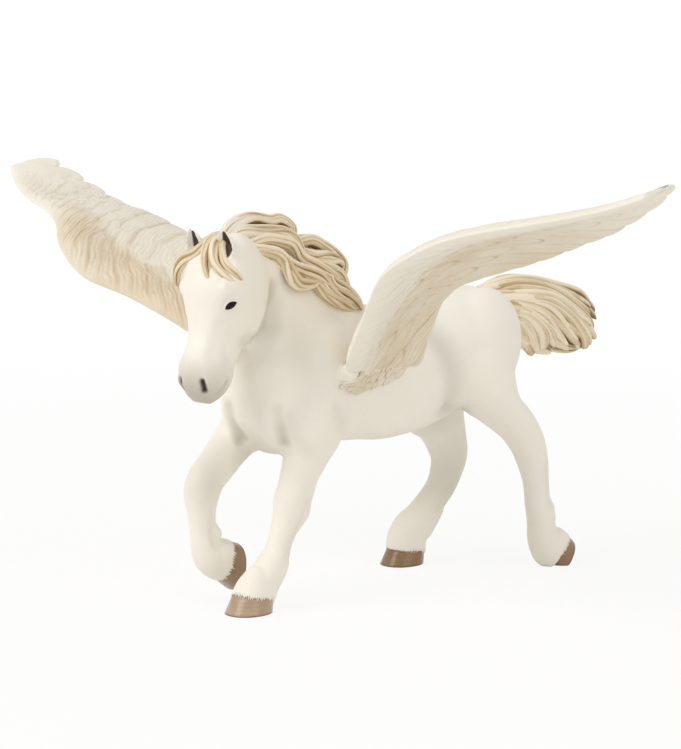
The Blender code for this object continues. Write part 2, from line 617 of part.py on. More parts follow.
def build_figure():
    clay = bmesh.new()
    soft = build_body()
    clay.from_mesh(soft)
    bpy.data.meshes.remove(soft)
    for rows in (LEFT_FORE, RIGHT_FORE, RIGHT_HIND, LEFT_HIND):
        add_limb(clay, rows[:11], squareness=2.1)
    for hoof in HOOVES.values():
        add_hoof(clay, *hoof)
    add_head(clay)
    add_ears(clay)
    for side in (1, -1):
        add_wing(clay, side)
    add_limb(clay, MANE_CORE)
    add_limb(clay, TAIL_CORE)
    add_locks(clay, MANE + FORELOCK, MANE_LOCK)
    add_locks(clay, stretched(TAIL, 0, DOCK, TAIL_END), TAIL_LOCK)
    for side in (1, -1):
        share, front, left = EYE_PLACE
        add_muscle(clay, head_point(share, front, side * left), EYE_RADII)
    mesh = fuse(NAME, clay, FINE_GRAIN, FINE_ROUNDS)
    press_folds(mesh, figure_folds())
    return mesh


def new_material():
    material = bpy.data.materials.new("painted_vinyl")
    material.use_nodes = True
    shader = material.node_tree.nodes["Principled BSDF"]
    shader.inputs["Base Color"].default_value = (0.86, 0.82, 0.73, 1.0)
    shader.inputs["Roughness"].default_value = 0.5
    shader.inputs["Metallic"].default_value = 0.0
    return material


def main():
    for thing in list(bpy.data.objects):
        bpy.data.objects.remove(thing)
    parts = bpy.data.collections.new("pegasus_figurine")
    cutters = bpy.data.collections.new("cutters")
    bpy.context.scene.collection.children.link(parts)
    bpy.context.scene.collection.children.link(cutters)

    mesh = build_figure()
    mesh.name = NAME
    figure = bpy.data.objects.new(NAME, mesh)
    parts.objects.link(figure)
    mesh.materials.append(new_material())

    fewer = figure.modifiers.new("fewer_faces", "DECIMATE")
    mesh.calc_loop_triangles()
    fewer.ratio = SKIN_TRIANGLES / len(mesh.loop_triangles)

    bpy.ops.mesh.primitive_cube_add(size=1.0)
    ground = bpy.context.object
    ground.name = "ground_cutter"
    ground.data.transform(Matrix.Translation((0, 0, -0.5)))
    ground.data.transform(Matrix.Diagonal((0.5, 0.5, 0.05, 1.0)))
    ground.hide_render = True
    ground.display_type = "WIRE"
    for holder in list(ground.users_collection):
        holder.objects.unlink(ground)
    cutters.objects.link(ground)
    flat = figure.modifiers.new("flat_soles", "BOOLEAN")
    flat.operation = "DIFFERENCE"
    flat.object = ground


main()
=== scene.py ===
"""The winged horse figurine as it is photographed: a solid soft vinyl casting, painted by hand.

The forms follow the frame's own measures in millimetres, (forward, left, up) from the ground under the
withers, and each painted part is built finer here and laid over the frame's plain solid.
"""

import math

import bmesh
import bpy
import numpy as np
from mathutils import Matrix, Vector
from mathutils.bvhtree import BVHTree


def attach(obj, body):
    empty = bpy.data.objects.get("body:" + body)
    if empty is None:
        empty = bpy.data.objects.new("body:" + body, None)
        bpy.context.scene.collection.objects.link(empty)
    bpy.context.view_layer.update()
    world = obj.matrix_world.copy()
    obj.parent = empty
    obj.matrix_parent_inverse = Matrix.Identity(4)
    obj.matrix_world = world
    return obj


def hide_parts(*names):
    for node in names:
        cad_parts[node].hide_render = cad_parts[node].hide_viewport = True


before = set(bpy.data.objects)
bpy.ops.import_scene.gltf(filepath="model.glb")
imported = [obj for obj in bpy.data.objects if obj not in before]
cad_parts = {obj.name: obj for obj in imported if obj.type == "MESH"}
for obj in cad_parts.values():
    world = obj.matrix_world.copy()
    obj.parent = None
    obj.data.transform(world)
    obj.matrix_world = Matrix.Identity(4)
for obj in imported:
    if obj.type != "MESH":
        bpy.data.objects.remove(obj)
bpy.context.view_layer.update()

# The body, head and legs are one casting in soft warm white vinyl, from a steel mould cut after a wax model.
# Its forms are full and rounded, so the skin is ovals run along each limb, melted together and rubbed smooth,
# with the folds of the joints and the lines of the face pressed in afterwards.
MM = 0.001
BOX_MIDDLE_FORWARD = -15.2
SOFT_GRAIN = 1.3
SKIN_GRAIN = 0.42
SKIN_TRIANGLES = 190000
OVAL_SIDES = 24


def spot(forward, left, up):
    return Vector((left, BOX_MIDDLE_FORWARD - forward, up)) * MM


def on_side(rows, side):
    """Rows of (forward, left, ...) as they are for the left side (1), or mirrored to the right (-1)."""
    return [(row[0], side * row[1], *row[2:]) for row in rows]


def smooth_rows(rows, steps):
    """Rows of numbers with smooth values put in between (a Catmull-Rom curve through every row)."""
    rows = np.array(rows, dtype=float)
    padded = np.vstack([2 * rows[0] - rows[1], rows, 2 * rows[-1] - rows[-2]])
    smooth = []
    for index in range(1, len(padded) - 2):
        a, b, c, d = padded[index - 1:index + 3]
        for step in range(steps):
            t = step / steps
            bend = (2 * a - 5 * b + 4 * c - d) * t * t + (3 * b - a - 3 * c + d) * t ** 3
            smooth.append(b + 0.5 * ((c - a) * t + bend))
    smooth.append(rows[-1])
    return np.array(smooth)


def add_rings(clay, rings):
    """Add a closed skin over rings of (forward, left, up) points to the clay."""
    loops = [[clay.verts.new(spot(*point)) for point in ring] for ring in rings]
    sides = len(loops[0])
    for ring, following in zip(loops, loops[1:]):
        for i in range(sides):
            j = (i + 1) % sides
            clay.faces.new((ring[i], ring[j], following[j], following[i]))
    clay.faces.new(loops[0][::-1])
    clay.faces.new(loops[-1])


def squared_circle(angle, squareness):
    """A place on a unit circle that is pushed out towards the corners of its square."""
    return [math.copysign(abs(v) ** (2 / squareness), v) for v in (math.cos(angle), math.sin(angle))]


def oval(ahead, behind, half_width, squareness):
    """Offsets round a section: along the section's own front direction, and sideways."""
    offsets = []
    for i in range(OVAL_SIDES):
        along, across = squared_circle(2 * math.pi * i / OVAL_SIDES, squareness)
        offsets.append((along * (ahead if along > 0 else behind), across * half_width))
    return offsets


def add_limb(clay, rows, squareness=2.1, steps=4, pose=None):
    """Skin over ovals along a path of (forward, left, up, ahead, behind, half_width)."""
    stations = smooth_rows(rows, steps)
    centres = stations[:, :3]
    runs = np.gradient(centres, axis=0)
    rings = []
    for centre, run, sizes in zip(centres, runs, stations[:, 3:]):
        run = run / np.linalg.norm(run)
        sideways = np.array([0.0, 1.0, 0.0]) - run * run[1]
        sideways /= np.linalg.norm(sideways)
        front = np.cross(sideways, run)
        ahead, behind, half_width = np.maximum(sizes, 0.2)
        ring = [centre + front * a + sideways * b for a, b in oval(ahead, behind, half_width, squareness)]
        if pose:
            ring = [pose(point) for point in ring]
        rings.append(ring)
    add_rings(clay, rings)


def add_muscle(clay, centre, radii, lean=0.0):
    """Add a smooth swelling, with its height leaning forward by so many degrees."""
    size = Matrix.Diagonal(Vector((radii[1], radii[0], radii[2], 1.0)) * MM)
    size[3][3] = 1.0
    turn = Matrix.Rotation(math.radians(lean), 4, "X")
    matrix = Matrix.Translation(spot(*centre)) @ turn @ size
    bmesh.ops.create_icosphere(clay, subdivisions=3, radius=1.0, matrix=matrix)


def harden(name, clay, outward=True):
    """Turn the clay into a smooth mesh, with its faces turned outward."""
    if outward:
        bmesh.ops.recalc_face_normals(clay, faces=clay.faces)
    mesh = bpy.data.meshes.new(name)
    clay.to_mesh(mesh)
    clay.free()
    mesh.shade_smooth()
    return mesh


def set_down(name, data):
    """Put a mesh, a lamp or a camera into the scene."""
    thing = bpy.data.objects.new(name, data)
    bpy.context.scene.collection.objects.link(thing)
    return thing


def baked(thing):
    """The mesh that an object's modifiers give."""
    return bpy.data.meshes.new_from_object(thing.evaluated_get(bpy.context.evaluated_depsgraph_get()))


def melt(name, clay, grain, rounds, triangles=None):
    """Turn overlapping closed skins into one even skin, rub it smooth, and thin its faces if need be."""
    thing = set_down(name, harden(name, clay, outward=False))
    skin = thing.modifiers.new("one_skin", "REMESH")
    skin.mode = "VOXEL"
    skin.voxel_size = grain * MM
    rub = thing.modifiers.new("rub_smooth", "SMOOTH")
    rub.factor = 0.5
    rub.iterations = rounds
    mesh = baked(thing)
    if triangles and 2 * len(mesh.polygons) > triangles:
        thing.modifiers.clear()
        thing.data = mesh
        fewer = thing.modifiers.new("fewer_faces", "DECIMATE")
        fewer.ratio = triangles / (2 * len(mesh.polygons))
        mesh = baked(thing)
    bpy.data.objects.remove(thing)
    return mesh


# Trunk, from the rump to the chest: (forward, left, up, down reach, up reach, half width).
TRUNK = [
    (-54.5, 0, 68, 7, 7, 5),
    (-50.5, 0, 69, 12, 12, 10),
    (-43, 0, 68, 16, 16.3, 14.5),
    (-34, 0, 66, 18, 18.4, 16.5),
    (-23, 0, 62.5, 17.5, 17.3, 16.2),
    (-12, 0, 60.5, 18.3, 18, 17.5),
    (1, 0, 61, 18.9, 19.5, 17.3),
    (12, 0, 61.5, 19, 19, 16.5),
    (22, 0, 61, 18.5, 18.5, 15.5),
    (30, 0, 59.5, 18.8, 17.5, 13.8),
    (38.5, 0, 58.5, 17, 15, 11.4),
    (45.3, 0, 58, 7.5, 7.5, 6.5),
]

# Neck, from inside the trunk up to the poll: throat reach, crest reach, half width.
NECK = [
    (10, 0, 60, 18, 16, 12),
    (20, 0, 69, 22.6, 17.5, 12.5),
    (29, 0, 79, 17.8, 15.5, 10.5),
    (36.5, 0.5, 87.5, 14, 13.5, 9),
    (43.5, 1.5, 93.5, 11, 11, 7.8),
    (49, 2.3, 96.5, 8.5, 7.5, 6.5),
]

# Legs from the ground up: (forward, left, up, reach ahead, reach behind, half width). They are the left
# fore, the raised right fore, the right hind and the left hind.
LEGS = [[
    (46.8, 8.5, 4.5, 5.4, 5.2, 5),
    (44.4, 8.5, 8, 4.7, 4.6, 4.5),
    (41.9, 8.5, 11.5, 4.4, 4.6, 4.6),
    (39.8, 8.5, 14.5, 3.8, 4, 3.9),
    (38.1, 8.6, 18.5, 3.9, 3.9, 3.4),
    (36.3, 8.7, 23.5, 4.2, 4.9, 3.9),
    (34.6, 9, 28.5, 5.3, 5.3, 4.8),
    (33.3, 9.2, 32.5, 5.2, 5.2, 4.8),
    (32, 9.5, 36.5, 5.6, 5.2, 5.1),
    (29.8, 9.8, 41, 7.2, 5.7, 6),
    (26, 9.5, 48, 9.6, 7.9, 7.2),
    (19, 8, 60, 11, 11, 8),
], [
    (45.2, -9.5, 11, 5.4, 5.2, 4.9),
    (46.8, -9.5, 11.5, 4.9, 5, 4.6),
    (48.7, -9.5, 13.3, 4.7, 5, 4.6),
    (50.2, -9.5, 16, 4, 4.4, 3.9),
    (50.9, -9.5, 20.5, 3.7, 3.8, 3.4),
    (51.4, -9.5, 25.5, 4, 4.1, 3.8),
    (51.3, -9.5, 30.5, 5, 5, 4.8),
    (49.5, -9.5, 34.2, 5.6, 5, 4.8),
    (45.4, -9.6, 38, 5.7, 4.9, 5.2),
    (39.4, -9.8, 44, 5.9, 5.8, 6.2),
    (31, -9.5, 51.5, 7.6, 9, 7.2),
    (23, -8, 60, 10, 10, 8),
], [
    (-30.8, -15.4, 4.5, 6, 6, 5.2),
    (-31.2, -15.2, 7.8, 6.1, 5.8, 4.8),
    (-32.8, -15, 11.3, 4.9, 6.7, 4.8),
    (-36.4, -14.7, 14.8, 3.7, 6.3, 4.2),
    (-41, -14.2, 19.5, 3.5, 5.6, 3.7),
    (-44, -13.8, 23, 4, 5.6, 3.9),
    (-46.2, -13.4, 27.5, 5.2, 5.6, 4.4),
    (-46.8, -13, 32, 6.2, 6.2, 5),
    (-45.2, -12.6, 37.3, 7.6, 6.6, 5.4),
    (-43.2, -12.2, 43, 10.8, 6.7, 6.4),
    (-39, -11, 50, 13.5, 9.2, 8.2),
    (-36, -9, 62, 13, 13, 9),
], [
    (-62, 15.5, 3.8, 5, 5, 4.6),
    (-60, 15.3, 5, 5, 5, 4.6),
    (-58.6, 15, 8.8, 4.7, 5, 4.6),
    (-57.8, 14.8, 13.6, 4.2, 5.2, 4),
    (-56.6, 14.5, 19.5, 4, 4.2, 3.5),
    (-56, 14.2, 25.7, 3.8, 4.2, 3.7),
    (-55, 13.8, 31.8, 4.7, 4.8, 4.5),
    (-53, 13.4, 37.9, 5.7, 5.2, 5),
    (-49, 12.8, 43.5, 6.2, 5.4, 5.8),
    (-42.8, 12, 49.2, 7.3, 6, 7.2),
    (-38.2, 11, 55.5, 11.2, 9.6, 8.8),
    (-35.5, 9, 64, 13, 12.5, 9.2),
]]

# The rows of a leg that melt into the soft body, and those that are added fine.
SOFT_ROWS = slice(6, None)
FINE_ROWS = slice(0, 11)

# Swellings under the skin: middle, radii (forward, left, up), lean. Each is set on both sides.
MUSCLES = [
    ((21, 9, 62), (11, 8.5, 18), 12),
    ((35.6, 6.5, 54), (9.5, 7.5, 11), 0),
    ((-38.5, 8.5, 67), (14, 9.5, 17), -14),
    ((-42.8, 7.5, 60), (7.2, 7.5, 13), 12),
    ((0, 6, 52), (22, 11, 9.5), 0),
]

# Head, measured down its own length from the poll: share of the length, reach to the nose line,
# reach to the jaw line, half width.
HEAD_YAW = 8.0
POLL = (51.0, 2.5, 100.0)
HEAD_LENGTH = 41.5
HEAD_SLOPE = 75.0
HEAD_SQUARENESS = 2.3
HEAD = [
    (1.05, 1.6, 2.4, 2.4),
    (1, 4.2, 4.4, 4.8),
    (0.92, 6.4, 6.4, 6.6),
    (0.83, 7.4, 7, 7),
    (0.75, 6.9, 7.6, 6.3),
    (0.66, 6.3, 10.2, 6.3),
    (0.58, 6.6, 13.6, 7),
    (0.48, 7.6, 16, 8.4),
    (0.36, 9.2, 16.4, 10.2),
    (0.24, 9.4, 15.5, 10.2),
    (0.12, 8.8, 13, 9.4),
    (0.02, 6.8, 9.5, 7.8),
    (-0.06, 2.6, 5, 4.6),
]

# Ears: their size, how much of their height is along the head, how they stand apart, and where they open.
EAR_HEIGHT = 7.6
EAR_UPRIGHT = 0.92
EAR_WIDTH = 7.0
EAR_SPREAD = 5.4
EAR_FLARE = 0.4
EAR_BASE_SHARE = 0.125
EAR_BASE_FRONT = 6.0
EAR_OPENING_TURN = 4.0
EAR_LEAN_AHEAD = 3.8
EAR_SIDES = 20


def swung(forward, left, degrees):
    """A reach over the ground, swung to the left."""
    turn = math.radians(degrees)
    return np.array([forward * math.cos(turn) - left * math.sin(turn),
                     left * math.cos(turn) + forward * math.sin(turn), 0.0])


def head_pose(point):
    """Turn a head point, built facing straight ahead, to the head's yaw about the poll."""
    reach = swung(point[0] - POLL[0], point[1] - POLL[1], HEAD_YAW)
    return np.array([POLL[0], POLL[1], point[2]]) + reach


def head_middle(share):
    """A place down the head's own length from the poll, before it is turned."""
    slope, down = math.radians(HEAD_SLOPE), share * HEAD_LENGTH
    return POLL[0] + down * math.cos(slope), POLL[1], POLL[2] - down * math.sin(slope)


def head_point(share, front, left):
    """A point in the head: down its length, out towards the nose line, and to its left."""
    slope = math.radians(HEAD_SLOPE)
    ahead, middle, up = head_middle(share)
    return head_pose((ahead + front * math.sin(slope), middle + left, up + front * math.cos(slope)))


def head_path(path, side):
    return [head_point(share, front, side * left) for share, front, left in path]


def add_head(clay):
    rows = [(*head_middle(share), nose, jaw, half_width) for share, nose, jaw, half_width in HEAD]
    add_limb(clay, rows, squareness=HEAD_SQUARENESS, pose=head_pose)


def ear_middle(share, side):
    down = EAR_BASE_SHARE - share * EAR_HEIGHT * EAR_UPRIGHT / HEAD_LENGTH
    return head_point(down, EAR_BASE_FRONT + share * EAR_LEAN_AHEAD, side * (EAR_SPREAD + share * EAR_FLARE))


def ear_breadth(share, wall=0.0):
    """Half the width of an ear's leaf: full above the base, narrowing to the tip."""
    return EAR_WIDTH / 2 * (np.sin(math.pi * (0.28 + 0.72 * share)) + wall)


def add_ears(clay):
    """Pricked ears: leaves rolled round a hollow that opens forward and outward."""
    for side in (1, -1):
        rings = []
        for share in np.linspace(0, 1, 9):
            width = ear_breadth(share, wall=0.05)
            ring = []
            for i in range(EAR_SIDES):
                angle = 2 * math.pi * i / EAR_SIDES
                along = 0.75 * math.cos(angle)
                if along > 0:
                    along = 0.25 - 0.75 * math.cos(angle) ** 2
                edge = swung(width * along, width * math.sin(angle), EAR_OPENING_TURN * side)
                ring.append(ear_middle(share, side) + edge)
            rings.append(ring)
        add_rings(clay, rings)


# Every leg ends in a cuff of hair over the top of its hoof, higher in front than at the heel. A hoof is
# the middle of its sole (forward, left, up), how far it swings back from the ground in degrees, and its size.
HOOF_LENGTH = 13.2
HOOF_WIDTH = 11.6
HOOF_HEIGHT = 7.0
HOOF_TAPER = 0.80
HOOF_SQUARENESS = 2.3
HOOF_LEAN = 2.4
HOOVES = {
    "left_fore": (49.8, 8.5, 0, 0, 1),
    "right_fore": (40.2, -9.5, 9.1, 82, 1),
    "right_hind": (-29.7, -15.4, 0, 0, 1),
    "left_hind": (-66, 15.5, 2.2, 58, 0.86),
}
CUFF_SIDES = 32
CUFF_FRONT = 0.78
CUFF_HEEL = 0.48
CUFF_RINGS = ((0, 0.8), (0, 1.04), (0.1, 1.07), (0.3, 1.07), (0.5, 1.04), (0.75, 0.88), (1.05, 0.6))


def hoof_place(hoof, angle, share, grow):
    """A place on a hoof's wall at an angle round it from the toe, from the sole (share 0) to the top (1)."""
    forward, left, up, swing, scale = hoof
    turn = math.radians(swing)
    down = np.array([-math.sin(turn), 0.0, -math.cos(turn)])
    toe = np.array([math.cos(turn), 0.0, -math.sin(turn)])
    size = (1 - (1 - HOOF_TAPER) * share) * grow * scale / 2
    along, across = squared_circle(angle, HOOF_SQUARENESS)
    place = np.array([forward, left, up]) - (down * HOOF_HEIGHT + toe * HOOF_LEAN) * scale * share
    place += toe * along * HOOF_LENGTH * size + np.array([0.0, across * HOOF_WIDTH * size, 0.0])
    place[2] = max(place[2], 0.0)
    return place


def cuff_edge(angle):
    """How high on its hoof the lower edge of a cuff is."""
    return CUFF_HEEL + (CUFF_FRONT - CUFF_HEEL) * (1 + math.cos(angle)) / 2


def cuff_ring(hoof, lift, grow):
    """A ring along the lower edge of a hoof's cuff, or lifted above it."""
    angles = [2 * math.pi * i / CUFF_SIDES for i in range(CUFF_SIDES)]
    return [hoof_place(hoof, angle, cuff_edge(angle) + lift, grow) for angle in angles]


# The smooth muscle at the root of each wing, which the feathered blade grows from, written as the legs are.
WING_SHOULDER = [
    (18, 9, 58, 2.5, 2.5, 5),
    (19.5, 14, 60.5, 2.8, 2.8, 4.5),
    (22, 18.5, 63, 2.4, 2.4, 3.4),
    (25.5, 23, 65.4, 1.6, 1.6, 2.4),
]


def build_skin():
    """Melt the soft forms together first, and then add the fine legs, the head and the ears to them."""
    clay = bmesh.new()
    add_limb(clay, TRUNK)
    add_limb(clay, NECK)
    add_head(clay)
    for rows in LEGS:
        add_limb(clay, rows[SOFT_ROWS])
    for centre, radii, lean in MUSCLES:
        for place in (centre, *on_side([centre], -1)):
            add_muscle(clay, place, radii, lean)
    soft = melt("soft_forms", clay, SOFT_GRAIN, rounds=6)
    clay = bmesh.new()
    clay.from_mesh(soft)
    bpy.data.meshes.remove(soft)
    for rows in LEGS:
        add_limb(clay, rows[FINE_ROWS])
    for hoof in HOOVES.values():
        add_rings(clay, [cuff_ring(hoof, lift, grow) for lift, grow in CUFF_RINGS])
    add_head(clay)
    add_ears(clay)
    for side in (1, -1):
        add_limb(clay, on_side(WING_SHOULDER, side))
    return melt("body_skin", clay, SKIN_GRAIN, rounds=3, triangles=SKIN_TRIANGLES)


# Lines and hollows pressed into the body: path, width, depth (a negative depth stands out), grey paint, which
# is partly the figure's own sprayed grey and partly painted shade in the folds. The first list is on both
# sides of the animal, the second as it stands.
PAIRED_FOLDS = [
    ([(39, 13, 53), (37.5, 13.6, 47), (33, 14, 43)], 3, 0.25, 0.15),
    ([(24, 16.5, 54), (21, 16, 49), (20, 14, 45)], 3.2, 0.5, 0.12),
    ([(-13, 15.5, 74), (-17.5, 15.5, 66), (-20, 15.5, 58), (-21, 14.5, 51)], 6, 0.8, 0.38),
    ([(-20, 13.5, 50), (-26, 12, 47), (-31, 8, 47)], 4, 0.6, 0.6),
    ([(-48, 10, 62), (-47, 12, 55), (-46, 13, 49)], 3.5, 0.35, 0.1),
    ([(37, 12.5, 76), (31, 13, 68), (27, 14, 60)], 7, 0.45, 0.12),
    ([(27, 15, 58), (14, 17.5, 66)], 6, -0.35, 0),
]
SINGLE_FOLDS = [
    ([(43.6, -5.6, 54.5), (42.4, -4.6, 49), (41.6, -3.9, 45.5)], 2.8, 0.8, 0.75),
    ([(40.9, 10.3, 55), (40.3, 10.9, 50), (38.4, 10.3, 45.5)], 2.2, 0.9, 0.6),
    ([(45.2, 9, 49.8), (43.8, 9, 46.6), (42, 8, 44.5)], 1.1, 0.7, 0.9),
    ([(43.5, 0.3, 56), (42.5, 0, 48), (38, 0, 43)], 3.2, 0.5, 0.1),
    ([(41.6, 11.5, 82.5), (41.2, 9.3, 76.5), (44, 8, 72.5), (47.5, 7, 70)], 4.5, 0.9, 0.55),
    ([(39.5, -4, 80), (40, -4, 74), (44, -3.5, 70)], 4.5, 0.9, 0.6),
    ([(33.4, 12.9, 28.5), (34.8, 12.2, 23.5), (36.6, 11.8, 18.5)], 1.8, 0.35, 0.15),
    ([(35.5, 13.2, 31.5)], 2.8, -0.35, 0),
    ([(38, 12.8, 13)], 2.4, -0.3, 0),
    ([(31.6, 11, 25.4)], 3.4, -0.6, 0),
    # Not pressed in: a broad grey on the raised right forearm is painted shade on its shaded side.
    ([(50.5, -5.5, 44), (53.5, -6, 34)], 7, 0, 0.4),
    ([(34.5, 11, 20), (37.5, 11, 15)], 3.6, 0.8, 0.1),
    ([(47.3, -6.5, 19.8)], 3.6, -1.6, 0),
    ([(-24.2, -10.4, 16)], 4.5, 1.2, 0),
    ([(-41.5, -10.8, 14.4), (-37.5, -12, 9)], 3.8, -0.9, 0),
    ([(-60, 18, 18.2)], 3.4, -0.7, 0),
    ([(-60.8, 17.5, 12)], 3.6, 1.3, 0.1),
    ([(51.2, -5.2, 28), (50.6, -5.9, 21), (49.9, -5.9, 16.5)], 1.8, 0.35, 0.15),
    ([(-46.6, -8.9, 27.5), (-43.6, -9.9, 20.5), (-39.6, -10.4, 16)], 1.8, 0.35, 0.2),
    ([(-56.6, 17.6, 31), (-57.6, 17.9, 25), (-58.2, 18, 19)], 1.8, 0.35, 0.15),
    ([(-54.5, 17.6, 33.5)], 2.6, -0.35, 0),
]

# The same for the head, in its own measures (share of its length, front, left), on both sides of it.
HEAD_FOLDS = [
    ([(0.43, 4, 9)], 4, 0.8, 0.08),
    ([(0.33, 7, 7.6), (0.39, 5.8, 9.6), (0.47, 3.2, 9.8)], 2.2, -0.7, 0),
    ([(0.50, -0.8, 9.4), (0.60, -1.4, 7.6), (0.70, -1.6, 6.4)], 2.4, -0.5, 0),
    ([(0.56, 4.8, 7), (0.74, 4.8, 5.8)], 3.2, 0.5, 0.05),
    ([(0.62, -6, 6.8), (0.60, -10, 6)], 3, 0.6, 0.3),
    ([(0.22, -11, 9.6), (0.388, -12.3, 8.4), (0.50, -13.6, 6.4), (0.58, -12.6, 4.6)], 2.3, 1.3, 0.9),
    ([(0.40, -8.6, 8.9), (0.52, -9.4, 6.6)], 3, -0.35, 0),
    ([(1.01, 0.6, 3.4), (0.955, -0.9, 5.9), (0.89, -1.9, 6.9)], 1, 0.8, 0.7),
    ([(0.945, 4.4, 4.8)], 3.2, -0.6, 0),
    ([(0.84, 6.6, 2.4), (0.89, 6.5, 3.6)], 2.6, 0.25, 0.3),
    ([(0.93, -5.8, 0), (0.92, -5.2, 4)], 2, 0.5, 0.2),
]
NOSTRIL = [(0.934, 5.2, 4.1), (0.958, 4.5, 4.2), (0.984, 3.5, 3.8)]
NOSTRIL_WIDTH = 1.45
NOSTRIL_DEPTH = 1.5

# Grey is also sprayed over the muzzle. A thin grey under the belly, between the legs and over the right hind
# leg is painted shade.
MUZZLE = [(0.97, 1, 0), (0.99, 0, 0)]
MUZZLE_WIDTH = 13.0
MUZZLE_SPRAY = 1.05
PAINTED_SHADE_PLACES = [(0, 0, 42), (-30, 0, 45), (37, 0, 41), (-42, -12, 25)]
SHADE_WIDTH = 16.0
PAINTED_SHADE_GREY = 0.35


def nearness(points, path, width):
    """1 on a path of places, falling smoothly to 0 at a width from it."""
    path = np.array(path, dtype=float)
    distance = np.linalg.norm(points - path[0], axis=1)
    for a, b in zip(path, path[1:]):
        run = b - a
        share = np.clip((points - a) @ run / (run @ run), 0, 1)
        distance = np.minimum(distance, np.linalg.norm(points - a - share[:, None] * run, axis=1))
    fade = np.clip(1 - distance / width, 0, 1)
    return fade * fade * (3 - 2 * fade)


def ear_hollow(points, normals, side):
    """1 in the open front of an ear, 0 elsewhere."""
    opening, sideways = (swung(*way, EAR_OPENING_TURN * side) for way in ((1, 0), (0, 1)))
    base = ear_middle(0.0, side)
    run = ear_middle(1.0, side) - base
    share = (points - base) @ run / (run @ run)
    offset = points - base - share[:, None] * run
    width = ear_breadth(np.clip(share, -0.3, 0.97))
    inside = np.clip((0.66 - 0.2 * share - np.abs(offset @ sideways) / width) / 0.2, 0, 1)
    inside *= np.clip((share + 0.02) / 0.08, 0, 1) * np.clip((0.92 - share) / 0.1, 0, 1)
    ahead = offset @ opening / width
    return inside * np.clip((normals @ opening) / 0.3, 0, 1) * (ahead > -0.6) * (ahead < 1)


def measure_points(mesh):
    """The skin's points as (forward, left, up) in millimetres, and its normals the same way round."""
    flat = np.empty(len(mesh.vertices) * 3)
    mesh.vertices.foreach_get("co", flat)
    x, y, z = flat.reshape(-1, 3).T / MM
    mesh.vertices.foreach_get("normal", flat)
    nx, ny, nz = flat.reshape(-1, 3).T
    return np.stack([BOX_MIDDLE_FORWARD - y, x, z], 1), np.stack([-ny, nx, nz], 1)


def put_points(mesh, points):
    """The way back: the mesh's points set from (forward, left, up) in millimetres."""
    forward, left, up = points.T
    places = np.stack([left, BOX_MIDDLE_FORWARD - forward, up], 1) * MM
    mesh.vertices.foreach_set("co", places.ravel())
    mesh.update()


def paint_mask(mesh, name, values):
    """Keep one number per point of the mesh for its paint to read."""
    mask = mesh.attributes.new(name, "FLOAT", "POINT")
    mask.data.foreach_set("value", np.ascontiguousarray(values, dtype=np.float32))


def press_folds(mesh):
    """Press the folds, ears and nostrils into the skin, and keep the grey of their paint (partly sprayed
    grey, partly painted shade) and the dark.
    """
    points, normals = measure_points(mesh)
    grey_and_shade, hollow = np.zeros(len(points)), np.zeros(len(points))
    folds = list(SINGLE_FOLDS)
    for path, *rest in PAIRED_FOLDS:
        folds += [(on_side(path, side), *rest) for side in (1, -1)]
    for path, *rest in HEAD_FOLDS:
        folds += [(head_path(path, side), *rest) for side in (1, -1)]
    for path, width, depth, fold_grey_and_shade in folds:
        # Grey in the folds: partly the figure's sprayed grey, partly painted shade.
        grey_and_shade = np.maximum(grey_and_shade, fold_grey_and_shade * nearness(points, path, width * 1.4))
        points -= normals * (nearness(points, path, width) * depth)[:, None]
    for side in (1, -1):
        hollow = np.maximum(hollow, ear_hollow(points, normals, side))
        path = head_path(NOSTRIL, side)
        hollow = np.maximum(hollow, nearness(points, path, NOSTRIL_WIDTH * 1.1))
        points -= normals * (nearness(points, path, NOSTRIL_WIDTH) * NOSTRIL_DEPTH)[:, None]
    grey_and_shade = np.maximum(grey_and_shade, MUZZLE_SPRAY * nearness(points, head_path(MUZZLE, 1), MUZZLE_WIDTH))
    # Painted shade: a thin grey under the belly, between the legs and over the right hind leg.
    for place in PAINTED_SHADE_PLACES:
        grey_and_shade = np.maximum(grey_and_shade, PAINTED_SHADE_GREY * nearness(points, [place], SHADE_WIDTH))
    points[:, 2] = np.maximum(points[:, 2], 0.0)
    put_points(mesh, points)
    paint_mask(mesh, "grey_and_shade", grey_and_shade)
    paint_mask(mesh, "hollow", hollow)
    mesh.shade_smooth()


class Reading:
    """A number read over a painted surface. Sums on readings add Math nodes to the paint."""

    def __init__(self, tree, socket):
        self.tree, self.socket = tree, socket

    def sum(self, operation, *values):
        return Reading(self.tree, add_node(self.tree, "ShaderNodeMath", {"operation": operation}, *values))

    def __add__(self, other):
        return self.sum("ADD", self, other)

    __radd__ = __add__

    def __sub__(self, other):
        return self.sum("SUBTRACT", self, other)

    def __rsub__(self, other):
        return self.sum("SUBTRACT", other, self)

    def __mul__(self, other):
        return self.sum("MULTIPLY", self, other)

    __rmul__ = __mul__

    def __truediv__(self, other):
        return self.sum("DIVIDE", self, other)

    def sine(self):
        return self.sum("SINE", self)

    def cosine(self):
        return self.sum("COSINE", self)

    def clamp(self):
        return self.sum("MAXIMUM", self.sum("MINIMUM", self, 1.0), 0.0)


def feed(tree, sockets):
    """Give each input socket its value or its link."""
    for socket, value in sockets:
        if isinstance(value, Reading):
            value = value.socket
        if isinstance(value, bpy.types.NodeSocket):
            tree.links.new(value, socket)
        else:
            socket.default_value = value


def add_node(tree, kind, settings, *values, out=0, **named):
    """Add a node: its settings first, then the values or links of its sockets, by place or by name."""
    node = tree.nodes.new(kind)
    for setting, value in settings.items():
        setattr(node, setting, value)
    feed(tree, zip(node.inputs, values))
    feed(tree, [(node.inputs[name.replace("_", " ")], value) for name, value in named.items()])
    return node.outputs[out]


def read(tree, kind, settings, *values, out=0, **named):
    return Reading(tree, add_node(tree, kind, settings, *values, out=out, **named))


